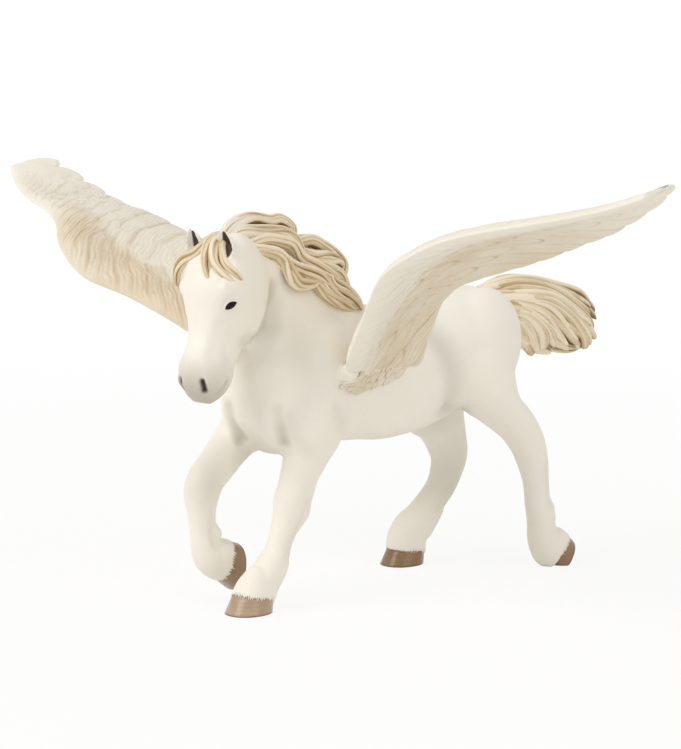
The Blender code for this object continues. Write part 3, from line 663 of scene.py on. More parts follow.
def mask_reading(tree, name):
    return read(tree, "ShaderNodeAttribute", {"attribute_name": name}, out="Fac")


def noise(tree, place, scale, detail):
    return read(tree, "ShaderNodeTexNoise", {}, Vector=place, Scale=scale, Detail=detail)


def as_light(red, green, blue):
    """A colour as it is seen, in steps of 255, turned into light."""
    steps = [step / 255 for step in (red, green, blue)]
    return tuple(((s + 0.055) / 1.055) ** 2.4 if s > 0.04 else s / 12.92 for s in steps) + (1.0,)


def blend_paint(tree, share, *paints):
    """The first paint, with a share of the second over it."""
    mix = tree.nodes.new("ShaderNodeMix")
    mix.data_type = "RGBA"
    first, second = (as_light(*each) if isinstance(each, tuple) else each for each in paints)
    feed(tree, ((mix.inputs[0], share), (mix.inputs[6], first), (mix.inputs[7], second)))
    return mix.outputs[2]


def paint_over(tree, colour, *layers):
    """A paint with others laid over it in turn, each with its share."""
    for share, layer in layers:
        colour = blend_paint(tree, share, colour, layer)
    return colour


def new_paint(name, gloss, coat=0.0):
    """A material with its node tree, its surface shader and its Object coordinates."""
    material = bpy.data.materials.new(name)
    material.use_nodes = True
    tree = material.node_tree
    shader = tree.nodes["Principled BSDF"]
    shader.inputs["Roughness"].default_value = 1 - gloss
    shader.inputs["Specular IOR Level"].default_value = 0.35
    shader.inputs["Coat Weight"].default_value = coat
    shader.inputs["Coat Roughness"].default_value = 0.25
    return material, tree, shader, tree.nodes.new("ShaderNodeTexCoord").outputs["Object"]


def finish_paint(tree, shader, colour, height, depth_mm, roughness=None):
    """Send a colour and a height to the surface."""
    tree.links.new(colour, shader.inputs["Base Color"])
    bump = add_node(tree, "ShaderNodeBump", {}, Strength=1.0, Distance=depth_mm * MM, Height=height)
    tree.links.new(bump, shader.inputs["Normal"])
    if roughness is not None:
        tree.links.new(roughness.socket, shader.inputs["Roughness"])


WARM_WHITE = (245, 241, 231)
CLOUDED_WHITE = (239, 232, 218)
SPECK_WHITE = (250, 247, 240)
GREY_SPRAY_AND_SHADE = (172, 163, 147)
HOLLOW_BROWN = (62, 48, 36)


def make_skin_paint():
    """Warm white, greyer in the folds, where the figure's sprayed grey and painted shade lie, and dark brown
    in the nostrils and ears.
    """
    material, tree, shader, place = new_paint("warm_white_vinyl_paint", gloss=0.5)
    cloud, speck = noise(tree, place, 55, 3), noise(tree, place, 900, 4)
    fine = noise(tree, place, 2600, 2)
    # The grey is partly the figure's own sprayed grey and partly painted shade in the folds and under the
    # body.
    grey_and_shade_share = (mask_reading(tree, "grey_and_shade") * (0.75 + cloud * 0.5)).clamp()
    dark = (mask_reading(tree, "hollow") * 1.6 - 0.25 + (speck - 0.5) * 0.3).clamp()
    colour = paint_over(tree, WARM_WHITE, (cloud * 0.5, CLOUDED_WHITE), ((speck - 0.5) * 0.25, SPECK_WHITE),
                        (grey_and_shade_share * 0.85, GREY_SPRAY_AND_SHADE), (dark, HOLLOW_BROWN))
    finish_paint(tree, shader, colour, speck * 0.6 + fine * 0.4, 0.05, roughness=0.44 + cloud * 0.14)
    return material


def add_piece(name, mesh, material):
    """Put a finished mesh into the scene, riding on the frame's body and standing for its plain solid."""
    mesh.materials.clear()
    mesh.materials.append(material)
    thing = set_down(name, mesh)
    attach(thing, "root")
    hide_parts("pegasus_figure")


skin_mesh = build_skin()
press_folds(skin_mesh)
skin_paint = make_skin_paint()
add_piece("body_skin", skin_mesh, skin_paint)


# The eyes are moulded with the head, as low almond domes with a soft rim of lid round each. The domes are
# painted black under a clear varnish, and the lids have the skin's white.
EYE_INNER_CORNER = (0.446, 4.6, 7.7)
EYE_OUTER_CORNER = (0.397, 2.9, 9.3)
EYE_LENGTH = 3.7
EYE_HEIGHT = 2.35
EYE_BULGE = 0.6
EYE_LIFT = 0.12
EYE_STEPS = 36
EYE_ROUNDS = 7
LID_THICKNESS = 0.26
LID_SIDES = 8
PUPIL_BLACK = (14, 9, 6)
EYE_BROWN = (26, 17, 12)

skin_finder = BVHTree.FromPolygons([point.co for point in skin_mesh.vertices],
                                   [face.vertices for face in skin_mesh.polygons])


def eye_outline(angle, size):
    """An almond: pointed at both corners and fuller above than below."""
    across = math.cos(angle)
    lid = (1 - across * across) ** 0.75 * (1.0 if math.sin(angle) > 0 else 0.8)
    return across * EYE_LENGTH / 2 * size, math.copysign(lid, math.sin(angle)) * EYE_HEIGHT / 2 * size


def eye_frame(side):
    """Where the eye sits on the head, the way out of it, the way to its outer corner and the way up."""
    inner, outer = (spot(*point) for point in head_path((EYE_INNER_CORNER, EYE_OUTER_CORNER), side))
    inside = spot(*head_point(EYE_INNER_CORNER[0], EYE_INNER_CORNER[1] - 3.0, 0.0))
    middle = (inner + outer) / 2
    upward = (middle - inside).cross(outer - inner).normalized() * side * EYE_HEIGHT / 2 * MM

    def on_skin(aim):
        outside = aim + (aim - inside).normalized() * 8 * MM
        return skin_finder.ray_cast(outside, (inside - outside).normalized())[0]

    along = (on_skin(outer) - on_skin(inner)).normalized()
    across = on_skin(middle + upward) - on_skin(middle - upward)
    across = (across - along * across.dot(along)).normalized()
    across = across if across.z > 0 else -across
    out = along.cross(across)
    out = out if out.dot(middle - inside) > 0 else -out
    return on_skin(middle), out, along, across


def eye_rim(size):
    return [eye_outline(2 * math.pi * (i + 0.5) / EYE_STEPS, size) for i in range(EYE_STEPS)]


def add_eyeball(clay, place, out, along, across):
    """A low dome over the almond, closed to a point inside the head."""
    loops = []
    for size in np.arange(EYE_ROUNDS, 0, -1) / EYE_ROUNDS:
        lift = out * (EYE_BULGE * math.sqrt(1 - size * size * 0.96) + EYE_LIFT)
        loops.append([clay.verts.new(place + (along * x + across * y + lift) * MM) for x, y in eye_rim(size)])
    under = clay.verts.new(place - out * 1.2 * MM)
    top = clay.verts.new(place + out * (EYE_BULGE + EYE_LIFT) * MM)
    for i in range(EYE_STEPS):
        j = (i + 1) % EYE_STEPS
        clay.faces.new((under, loops[0][j], loops[0][i]))
        clay.faces.new((loops[-1][i], loops[-1][j], top))
        for outer, inner in zip(loops, loops[1:]):
            clay.faces.new((outer[i], outer[j], inner[j], inner[i]))


def add_eyelid(clay, place, out, along, across):
    """A round rim just outside the almond, thicker above than below."""
    rings = []
    for x, y in eye_rim(1.08):
        outward = (along * x + across * y).normalized()
        thick = LID_THICKNESS * (1.25 if y > 0 else 0.85)
        middle = place + (along * x + across * y + out * EYE_LIFT) * MM
        turns = np.linspace(0, 2 * math.pi, LID_SIDES + 1)[:-1]
        rings.append([clay.verts.new(middle + (outward * math.cos(turn) + out * math.sin(turn)) * thick * MM)
                      for turn in turns])
    for ring, following in zip(rings, rings[1:] + rings[:1]):
        for i in range(LID_SIDES):
            j = (i + 1) % LID_SIDES
            clay.faces.new((ring[i], ring[j], following[j], following[i]))


def make_eye_paint():
    material, tree, shader, place = new_paint("varnished_black_eye", gloss=0.8, coat=0.15)
    shader.inputs["Specular IOR Level"].default_value = 0.12
    depth = noise(tree, place, 700, 2)
    finish_paint(tree, shader, blend_paint(tree, depth, PUPIL_BLACK, EYE_BROWN), depth, 0.01)
    return material


eyes, eyelids = bmesh.new(), bmesh.new()
for side in (1, -1):
    seat = eye_frame(side)
    add_eyeball(eyes, *seat)
    add_eyelid(eyelids, *seat)
lid_mesh = harden("eyelids", eyelids)
for mask in ("grey_and_shade", "hollow"):
    paint_mask(lid_mesh, mask, np.zeros(len(lid_mesh.vertices)))
add_piece("eyes", harden("eyes", eyes), make_eye_paint())
add_piece("eyelids", lid_mesh, skin_paint)


# Each hoof is the end of its leg, painted in glossy horn brown. Its wall widens from under the cuff to the
# sole, with the growth rings of horn round it and a darker rim where it meets the ground and under the cuff,
# partly the horn's own dark rim and partly painted shade.
# The hooves nearer the front lamp are painted paler, as painted light: the left fore most, the right hind
# least.
HOOF_PAINTED_LIGHT = {"left_fore": 1.0, "right_fore": 0.4, "right_hind": 0.0, "left_hind": 0.15}
HOOF_SIDES = 48
RING_PITCH = 44
HORN = (124, 93, 58)
LIT_HORN = (170, 143, 116)
SCRAPED_HORN = (146, 117, 80)
LIT_SCRAPED_HORN = (192, 168, 143)
REDDISH_HORN = (146, 104, 72)
DARK_RIM_AND_SHADE = (84, 60, 42)


def hoof_ring(hoof, share, grow):
    return [hoof_place(hoof, 2 * math.pi * i / HOOF_SIDES, share, grow) for i in range(HOOF_SIDES)]


def make_hooves():
    clay = bmesh.new()
    heights, lit_shares = [], []
    for name, hoof in HOOVES.items():
        walls = [(0.0, 0.05), (0.0, 0.6), (0.0, 0.965)]
        walls += [(share, 1 + 0.004 * math.sin(share * RING_PITCH)) for share in np.linspace(0.035, 0.82, 22)]
        walls += [(0.84, 0.8), (0.84, 0.05)]
        add_rings(clay, [hoof_ring(hoof, share, grow) for share, grow in walls])
        heights += [share for share, grow in walls for side in range(HOOF_SIDES)]
        lit_shares += [HOOF_PAINTED_LIGHT[name]] * (HOOF_SIDES * len(walls))
    mesh = harden("hooves", clay)
    paint_mask(mesh, "horn", heights)
    paint_mask(mesh, "lit_share", lit_shares)
    return mesh


def make_hoof_paint():
    """Horn brown, scraped lighter down the wall and ringed across it, painted paler on the hooves nearer the
    lamp as painted light, and darkest at the ground and the cuff, partly as painted shade.
    """
    material, tree, shader, place = new_paint("varnished_horn_brown", gloss=0.72, coat=0.5)
    height, lit_share = mask_reading(tree, "horn"), mask_reading(tree, "lit_share")
    streak_place = add_node(tree, "ShaderNodeMapping", {}, Vector=place, Scale=(1.0, 1.0, 0.12))
    streak, cloud = noise(tree, streak_place, 700, 3), noise(tree, place, 150, 2)
    rings = (height * RING_PITCH + cloud * 5).sine()
    # Painted light: paler horn on the hooves nearer the lamp.
    base = blend_paint(tree, lit_share, HORN, LIT_HORN)
    scraped = blend_paint(tree, lit_share, SCRAPED_HORN, LIT_SCRAPED_HORN)
    # Partly the horn's dark rim and partly painted shade, at the ground and under the overhanging cuff.
    edge = ((0.10 - height) * 11).clamp() + ((height - 0.6) * 1.5).clamp() * 0.7
    colour = paint_over(tree, base, ((streak * 1.6 - 0.35).clamp(), scraped),
                        ((cloud * 2.2 - 1.0).clamp() * 0.6, REDDISH_HORN), ((edge * 0.75).clamp(), DARK_RIM_AND_SHADE))
    finish_paint(tree, shader, colour, rings * 0.45 + streak, 0.09)
    return material


add_piece("hooves", make_hooves(), make_hoof_paint())


# The hair of each cuff ends in short fine points over the horn, moulded in the vinyl and painted with the
# leg, so that the brown begins at a ragged edge.
TUFTS_PER_HOOF = 72
TUFT_RADIUS = 0.26


def sweep_tree():
    """A Geometry Nodes tree that runs a ribbed section along paths, for feathers, strands and tufts."""
    tree = bpy.data.node_groups.new("ribbed_sweep", "GeometryNodeTree")
    sizes = {"Sides": "Int", "Ribs": "Float", "Rib Depth": "Float", "Flatness": "Float"}
    for name, kind in {"Paths": "Geometry", **sizes, "Paint": "Material"}.items():
        tree.interface.new_socket(name, in_out="INPUT", socket_type="NodeSocket" + kind)
    tree.interface.new_socket("Sweeps", in_out="OUTPUT", socket_type="NodeSocketGeometry")
    given = tree.nodes.new("NodeGroupInput").outputs
    sides, ribs, rib_depth, flatness = (Reading(tree, given[name]) for name in sizes)

    circle = add_node(tree, "GeometryNodeCurvePrimitiveCircle", {"mode": "RADIUS"}, Resolution=sides,
                      Radius=1.0)
    angle = read(tree, "GeometryNodeInputIndex", {}) * (2 * math.pi) / sides
    across, outward = angle.cosine(), angle.sine()
    rib = (angle * ribs * 2).cosine() * 0.5 + 0.5
    swell = 1 - rib_depth * (1 - rib)
    place = add_node(tree, "ShaderNodeCombineXYZ", {}, outward * flatness * swell, across * swell, 0.0)
    section = add_node(tree, "GeometryNodeSetPosition", {}, Geometry=circle, Position=place)
    for name, value in (("crest", outward), ("across", across)):
        section = add_node(tree, "GeometryNodeStoreNamedAttribute", {"data_type": "FLOAT", "domain": "POINT"},
                           Geometry=section, Name=name, Value=value)

    paths = add_node(tree, "GeometryNodeMeshToCurve", {}, Mesh=given["Paths"])
    face = add_node(tree, "GeometryNodeInputNamedAttribute", {"data_type": "FLOAT_VECTOR"}, Name="face")
    paths = add_node(tree, "GeometryNodeSetCurveNormal", {"mode": "FREE"}, Curve=paths, Normal=face)
    breadth = add_node(tree, "GeometryNodeInputNamedAttribute", {"data_type": "FLOAT"}, Name="breadth")
    swept = add_node(tree, "GeometryNodeCurveToMesh", {}, Curve=paths, Profile_Curve=section, Scale=breadth,
                     Fill_Caps=True)
    swept = add_node(tree, "GeometryNodeSetShadeSmooth", {}, Geometry=swept)
    swept = add_node(tree, "GeometryNodeRealizeInstances", {}, Geometry=swept)
    swept = add_node(tree, "GeometryNodeSetMaterial", {}, Geometry=swept, Material=given["Paint"])
    tree.links.new(swept, tree.nodes.new("NodeGroupOutput").inputs[0])
    return tree


sweep = sweep_tree()


def run_sweep(name, paths, material, sides, ribs, rib_depth, flatness, pale=None):
    """Sweep along paths. Each is (places, breadths, faces): the way its crest looks at every place."""
    clay = bmesh.new()
    breadths, faces, tints, whites = [], [], [], []
    for index, (places, widths, outwards) in enumerate(paths):
        row = [clay.verts.new(spot(*place)) for place in places]
        for first, second in zip(row, row[1:]):
            clay.edges.new((first, second))
        breadths += [width * MM for width in widths]
        faces += [(out[1], -out[0], out[2]) for out in outwards]
        tints += [(index * 0.618) % 1.0] * len(row)
        whites += list(nearness(np.array(places), [pale[0]], pale[1]) if pale else [0.0] * len(row))
    mesh = harden(name, clay, outward=False)
    for mask, values in (("breadth", breadths), ("tint", tints), ("pale", whites)):
        paint_mask(mesh, mask, values)
    face = mesh.attributes.new("face", "FLOAT_VECTOR", "POINT")
    face.data.foreach_set("vector", np.array(faces, dtype=np.float32).ravel())
    thing = set_down(name, mesh)
    grow = thing.modifiers.new("sweep", "NODES")
    grow.node_group = sweep
    settings = {"Sides": sides, "Ribs": float(ribs), "Rib Depth": rib_depth, "Flatness": flatness,
                "Paint": material}
    for item in sweep.interface.items_tree:
        if item.in_out == "INPUT" and item.name in settings:
            grow[item.identifier] = settings[item.name]
    swept = baked(thing)
    bpy.data.objects.remove(thing)
    bpy.data.meshes.remove(mesh)
    clay = bmesh.new()
    clay.from_mesh(swept)
    bpy.data.meshes.remove(swept)
    return harden(name, clay)


def tuft_paths():
    """Fine points of hair from the cuff down over the horn, of uneven length."""
    paths = []
    for number, hoof in enumerate(HOOVES.values()):
        middle = np.array(cuff_ring(hoof, 0.0, 1.0)).mean(axis=0)
        for i in range(TUFTS_PER_HOOF):
            angle = 2 * math.pi * (i + 0.35 * math.sin(i * 5.1 + number)) / TUFTS_PER_HOOF
            length = 0.05 + 0.04 * math.sin(i * 2.4 + number) + 0.03 * math.sin(i * 0.9)
            drift = 0.05 * math.sin(i * 1.7 + number * 2)
            bends = ((0, 0.22, 1.01), (0, 0.09, 1.05), (drift / 2, 0.01, 1.045), (drift, -length, 1.015))
            places = smooth_rows([hoof_place(hoof, angle + sway, cuff_edge(angle) + lift, grow)
                                  for sway, lift, grow in bends], 3)
            places[:, 2] = np.maximum(places[:, 2], TUFT_RADIUS)
            out = places[0] - middle
            out = out / np.linalg.norm(out)
            shares = np.linspace(0, 1, len(places))
            paths.append((places, TUFT_RADIUS * (1.0 - 0.8 * shares ** 2), [out] * len(places)))
    return paths


tufts = run_sweep("coronet_tufts", tuft_paths(), skin_paint, sides=6, ribs=2, rib_depth=0.1, flatness=0.7)
add_piece("coronet_tufts", tufts, skin_paint)


# The wings are cast with the body: stiff blades with a rounded arm along the front edge. The sculptor cut
# rows of overlapping feathers into both faces, long flight feathers and shorter coverts over them, and drew
# the barbs of every feather with fine strokes. Each face has its own relief and its own wash of paint, and
# the shadow that each row casts just past its ends is painted into the cuts. All sizes are in millimetres,
# but for the arm's place, its spread and the bulge, which are shares of the chord from the front edge to the
# back one.
ARM_THICKNESS = 4.6
BLADE_THICKNESS = 1.8
BLADE_BULGE = 0.05
ARM_PLACE = 0.12
ARM_SPREAD = 0.13
TIP_FADE = 26.0
LEFT_TIP_DROP = 1.3

# A wing's front and back edges, from the shoulder to the tip: (forward, left, up).
WING = [
    ((19, 8, 60), (-6, 8, 64)),
    ((22.5, 17, 62.8), (-4.5, 17, 64.5)),
    ((28, 24, 66), (-4, 21.5, 72)),
    ((33.5, 31, 70), (-2.5, 28, 82)),
    ((39.4, 40, 76.2), (1, 39, 88.2)),
    ((45.9, 50, 82.2), (4, 50, 91.2)),
    ((53.4, 60, 87.4), (5, 60, 93.6)),
    ((55.6, 68, 95.4), (5.3, 70, 96.2)),
    ((50.3, 78, 102.4), (5.2, 80, 99.4)),
    ((47, 89, 105.8), (6.5, 90, 102.7)),
    ((43.8, 100, 108), (9.5, 100, 105.4)),
    ((40, 110, 110), (12, 110, 109.4)),
    ((35.2, 120, 112.4), (15, 120, 113.9)),
    ((31, 128, 115.2), (19, 128, 118)),
    ((28.6, 132, 116.8), (24.5, 131.8, 118.6)),
]
WING_LEADING = smooth_rows([lead for lead, trail in WING], 6)
WING_TRAILING = smooth_rows([trail for lead, trail in WING], 6)
WING_START = WING[0][0][1]
WING_REACH = WING[-1][0][1]
WING_END = WING_REACH - 2.2
WING_RINGS = 330
WING_CHORDS = 132
SMOOTH_SHOULDER = 12.0
SHOULDER_FADE = 6.0

# Rows of feathers from the tips to the arm: spacing along the wing, run outward over the whole chord,
# chord where the row ends, depth of its rounded ends, height, and strokes of barbs across one feather.
FEATHER_ROWS = [
    (8.6, 30, 9, 0, 0.55, 6),
    (7.1, 34, 0.64, 0.13, 0.34, 5),
    (5.4, 36, 0.43, 0.11, 0.32, 4),
    (4, 38, 0.27, 0.08, 0.30, 3),
]
BARB_HEIGHT = 0.085
TIP_DEPTH = {1: 1.6, -1: 4.4}

# How the upper (1) and the lower (-1) faces differ: height of the relief, paint in the cuts, painted shadow
# just past the feathers' ends, and the share of the chord over which the smooth arm fades.
FACE_RELIEF = {1: 0.65, -1: 1.0}
FACE_GROOVE = {1: 0.75, -1: 1.0}
FACE_LIP_SHADOW = {1: 0.35, -1: 0.75}
FACE_ARM = {1: 0.10, -1: 0.17}
CREAM = (236, 229, 212)
PALE_CREAM = (244, 240, 230)
TAN_WASH = (217, 197, 163)
CUT_AND_SHADOW_TAN = (196, 170, 128)
CUT_AND_SHADOW_BROWN = (146, 116, 78)
DRY_WHITE = (248, 244, 234)
ARM_WHITE = (238, 232, 218)


def soft_step(values):
    steps = np.clip(values, 0, 1)
    return steps * steps * (3 - 2 * steps)


def round_end(inside):
    """The half round of one feather's end, from one of its sides (0) to the other (1)."""
    return np.sqrt(np.clip(1 - (2 * inside - 1) ** 2, 0, 1))


def wing_middle(reach, chord):
    """Places on a wing's middle surface: reach sideways in mm, chord 0 at the front, 1 at the back."""
    lead, trail = (np.stack([np.interp(reach, edge[:, 1], edge[:, axis]) for axis in range(3)], -1)
                   for edge in (WING_LEADING, WING_TRAILING))
    width = np.linalg.norm(trail - lead, axis=-1)
    place = lead + (trail - lead) * chord[..., None]
    place[..., 2] += BLADE_BULGE * width * 4 * np.clip(chord * (1 - chord), 0, 1)
    return place, width


def chance(number, seed):
    """An even spread of values from 0 to 1 for whole numbers, always the same ones."""
    return np.mod(np.sin(number * 12.9898 + seed * 78.233) * 43758.5453, 1.0)


def wander(reach, chord, seed):
    """A slow wave over the wing, between -1 and 1, that keeps the cut feathers from being regular."""
    waves = 0.0
    for number in range(1, 5):
        turn = seed * 1.7 + number * 2.4
        sideways, backward = 0.21 * number * math.cos(turn), 9.0 * number * math.sin(turn)
        waves = waves + np.sin(reach * sideways + chord * backward + turn)
    return waves / 4


def feather_cut(reach, chord, face):
    """Height of the cut feathers over the blade, and how deep each place lies in a groove, with painted
    shadow just past each row's ends.
    """
    seed = 3.0 + face
    height, groove_and_shadow = np.zeros_like(reach), np.zeros_like(reach)
    for number, (spacing, run, end, depth, rise, barbs) in enumerate(FEATHER_ROWS):
        swing = reach - run * chord + 0.9 * wander(reach, chord, seed + number)
        index = np.floor(swing / spacing)
        inside = swing / spacing - index
        luck = chance(index, seed + number)
        limit = end + depth * (round_end(inside) - 0.7) + 0.05 * (luck - 0.5)
        shaft = 0.12 * np.exp(-((inside - 0.45) / 0.06) ** 2)
        vane = 0.35 + 0.65 * (1 - inside) * soft_step(inside / 0.14) + shaft
        slope = 0.75 + 0.35 * np.clip(chord / max(min(end, 1.0), 0.1), 0, 1)
        strokes = np.sin(2 * math.pi * (inside * barbs + 0.35 * wander(reach * 2.3, chord * 2.3, seed + 5))
                         + 6 * luck + chord * 14 * (luck - 0.5))
        layer = rise * vane * slope * FACE_RELIEF[face] + BARB_HEIGHT * strokes
        seam = np.exp(-(inside / 0.10) ** 2) + np.exp(-((inside - 1) / 0.07) ** 2)
        drawn = 0.4 * (1 - strokes) / 2
        if number == 0:
            height, groove_and_shadow = layer, 0.5 * seam + drawn
        else:
            over = soft_step((limit - chord) / 0.022)
            # Painted shadow: a dark band just past the ends of each row, where it overlaps the one below.
            lip_shadow = np.exp(-((chord - limit - 0.012) / 0.016) ** 2) * FACE_LIP_SHADOW[face]
            height = height * (1 - 0.35 * over) + over * layer
            groove_and_shadow = groove_and_shadow * (1 - over) + over * (0.45 * seam + drawn)
            groove_and_shadow = np.maximum(groove_and_shadow, lip_shadow * (0.6 + 0.5 * luck))
    return height, groove_and_shadow * FACE_GROOVE[face]


def wing_outline(reach, side):
    """How far the rounded tips of the flight feathers stand out behind the trailing edge, in mm."""
    spacing, run = FEATHER_ROWS[0][:2]
    share = np.clip((reach - run) / (WING_REACH - run), 0, 1)
    rounded = round_end(np.mod((reach - run) / spacing, 1.0))
    return rounded * (1.3 + TIP_DEPTH[side] * share ** 3) * np.clip((WING_REACH - reach) / 5, 0, 1)


def both_faces(upper, lower):
    """Rows that run over a wing's upper face and back under its lower one."""
    return np.concatenate([upper, lower[:, ::-1]], axis=1)


def make_wing(name, side):
    """One wing as rings round its blade, with masks for its grooves and painted shadows, its tan wash and its
    smooth shoulder.
    """
    chords = (1 - np.cos(np.linspace(0, math.pi, WING_CHORDS))) / 2
    reach, chord = np.meshgrid(np.linspace(WING_START, WING_END, WING_RINGS), chords, indexing="ij")
    share = reach / WING_REACH
    width = wing_middle(reach, chord)[1]
    middle = wing_middle(reach, chord * (1 + wing_outline(reach, side) / np.maximum(width, 4.0)))[0]
    if side > 0:
        middle[..., 2] -= LEFT_TIP_DROP * share ** 2
    outward, backward = np.gradient(middle, axis=0), np.gradient(middle, axis=1)
    normal = np.cross(outward, backward)
    normal /= np.maximum(np.linalg.norm(normal, axis=-1), 1e-9)[..., None]
    normal *= np.where(normal[..., 2:] > 0, 1.0, -1.0)
    rounding = np.minimum(1.0, np.sqrt(np.clip(chord * (1 - chord), 0, 1)) * 4)
    arm = ARM_THICKNESS * (1.15 - share) * 0.5 * np.exp(-((chord - ARM_PLACE) / ARM_SPREAD) ** 2)
    half = (BLADE_THICKNESS * (1.25 - 0.5 * share) * 0.5 + arm) * 0.8
    start = soft_step((reach - SMOOTH_SHOULDER - 6 * soft_step((0.3 - chord) / 0.2)) / SHOULDER_FADE)
    tip_fade = np.clip((WING_END - reach) / TIP_FADE, 0, 1)
    surfaces, grooves_and_shadows = [], []
    for face in (1, -1):
        height, groove_and_shadow = feather_cut(reach, chord, face)
        calm = start * tip_fade * soft_step((chord + 0.02) / FACE_ARM[face])
        thick = (half + (height - 0.25) * calm) * rounding + 0.05
        surfaces.append(middle + normal * (thick * face)[..., None])
        grooves_and_shadows.append(np.clip(groove_and_shadow, 0, 1.2) * calm)
    upper_wash = soft_step((0.42 - chord + 0.05 * wander(reach, chord, 9)) / 0.16)
    upper_wash *= soft_step((96 - reach) / 30) * (soft_step((chord - 0.03) / 0.05) if side > 0 else 1.0)
    # The lower face's tan wash is thinned, and fades out towards the tip, as painted light on that face.
    lower_wash_and_painted_light = 0.74 * soft_step((chord - 0.22) / 0.2) * soft_step((118 - reach) / 60)
    washes_and_painted_light = [wash * soft_step((reach - 13) / 6) for wash in (np.maximum(upper_wash, 0.12), lower_wash_and_painted_light)]
    clay = bmesh.new()
    add_rings(clay, both_faces(*surfaces) * np.array([1.0, side, 1.0]))
    mesh = harden(name, clay)
    for mask, faces in (("groove_and_shadow", grooves_and_shadows), ("wash", washes_and_painted_light), ("bare", (1 - start, 1 - start))):
        paint_mask(mesh, mask, both_faces(*faces).ravel())
    return mesh


def make_feather_paint():
    """Cream over white, a tan wash where it is deep, brown in the cuts and in the painted shadows past the
    feathers' ends, and dry white on the crests.
    """
    material, tree, shader, place = new_paint("brushed_cream_feather_paint", gloss=0.4)
    groove_and_shadow, wash, bare = (mask_reading(tree, name) for name in ("groove_and_shadow", "wash", "bare"))
    cloud, speck = noise(tree, place, 70, 4), noise(tree, place, 1100, 3)
    patch = noise(tree, place, 240, 3)
    cream = blend_paint(tree, patch, CREAM, PALE_CREAM)
    tan = (wash * (0.25 + cloud * 1.3) + (cloud - 0.5) * 0.5 + (patch - 0.5) * 0.4).clamp()
    # Tan and brown for the cuts' wash and for the painted shadows past the feathers' ends.
    deep = (groove_and_shadow * (0.65 + patch * 0.7)).clamp()
    dry = ((0.35 - groove_and_shadow) * 1.6 * (speck + 0.25)).clamp()
    deepest = ((deep - 0.55) * 1.8).clamp() * 0.7
    colour = paint_over(tree, cream, (tan * 0.9, TAN_WASH), (deep * 0.55, CUT_AND_SHADOW_TAN), (deepest, CUT_AND_SHADOW_BROWN),
                        (dry * 0.7, DRY_WHITE), (bare, ARM_WHITE))
    finish_paint(tree, shader, colour, speck * 0.5 + patch * 0.5, 0.12)
    return material


feather_paint = make_feather_paint()
for wing_name, side in (("left_wing", 1), ("right_wing", -1)):
    add_piece(wing_name, make_wing(wing_name, side), feather_paint)


# At the shoulder the last small feathers lie flat on the body in three rows, moulded and painted with the
# wing. Their points make its ragged lower end.
ROOT_EDGE = [(23.5, 61), (19, 59.5), (14.5, 60), (10.5, 60.5), (6.5, 61.5), (3, 62.5), (0.5, 63.5)]
ROOT_ROWS = 3
ROOT_ROW_RISE = 1.9
ROOT_FEATHERS = 17
ROOT_FEATHER_HALF = 0.78
ROOT_WASH = 0.6


def root_feather_paths():
    """Short paths on the skin, leaning forward and down across the edge, row above row."""
    paths = []
    edge = np.array(ROOT_EDGE)
    shares = np.linspace(0, 1, 7)
    for side in (1, -1):
        for i in range(ROOT_FEATHERS * ROOT_ROWS):
            row = i // ROOT_FEATHERS
            share = (i % ROOT_FEATHERS + 0.5 * chance(i, 1.0)) / ROOT_FEATHERS * (len(edge) - 1)
            forward, up = (np.interp(share, range(len(edge)), edge[:, axis]) for axis in (0, 1))
            up += ROOT_ROW_RISE * row
            places = []
            for along in shares:
                travel = (along - 0.6) * (4.6 + 2.4 * chance(i, 2.0))
                f, u = forward + travel * 0.6, up - travel * (0.7 + 0.2 * chance(i, 3.0))
                hit = skin_finder.ray_cast(spot(f, side * 40.0, u), Vector((-side, 0, 0)))[0]
                left = (hit.x / MM) if hit else side * 16.0
                places.append((f, left + side * (0.15 + 0.4 * row + 0.35 * along), u))
            widths = (ROOT_FEATHER_HALF + 0.25 * chance(i, 4.0)) * np.sqrt(np.clip(1.02 - shares ** 4, 0, 1))
            paths.append((np.array(places), widths, [(0.1, side, 0.1)] * len(shares)))
    return paths


root_feathers = run_sweep("root_feathers", root_feather_paths(), feather_paint, sides=16, ribs=4,
                          rib_depth=0.14, flatness=0.4)
crests = np.empty(len(root_feathers.vertices))
root_feathers.attributes["crest"].data.foreach_get("value", crests)
paint_mask(root_feathers, "groove_and_shadow", np.clip(0.55 - crests * 0.5, 0, 1))
paint_mask(root_feathers, "wash", np.full(len(crests), ROOT_WASH))
paint_mask(root_feathers, "bare", np.zeros(len(crests)))
add_piece("root_feathers", root_feathers, feather_paint)


# The mane is a mass of wavy locks, carved side by side with deep grooves between the strands and painted
# cream over a brown wash, which stays in the grooves. Under the strands lie the thick locks they cover, on a
# core painted dark brown, which stands for the wash and for painted shade in the gaps.
MANE_LOCK = 2.3
MANE_STRANDS = 6
MANE_STRAND = 0.80
UNDER_SHARE = 0.80

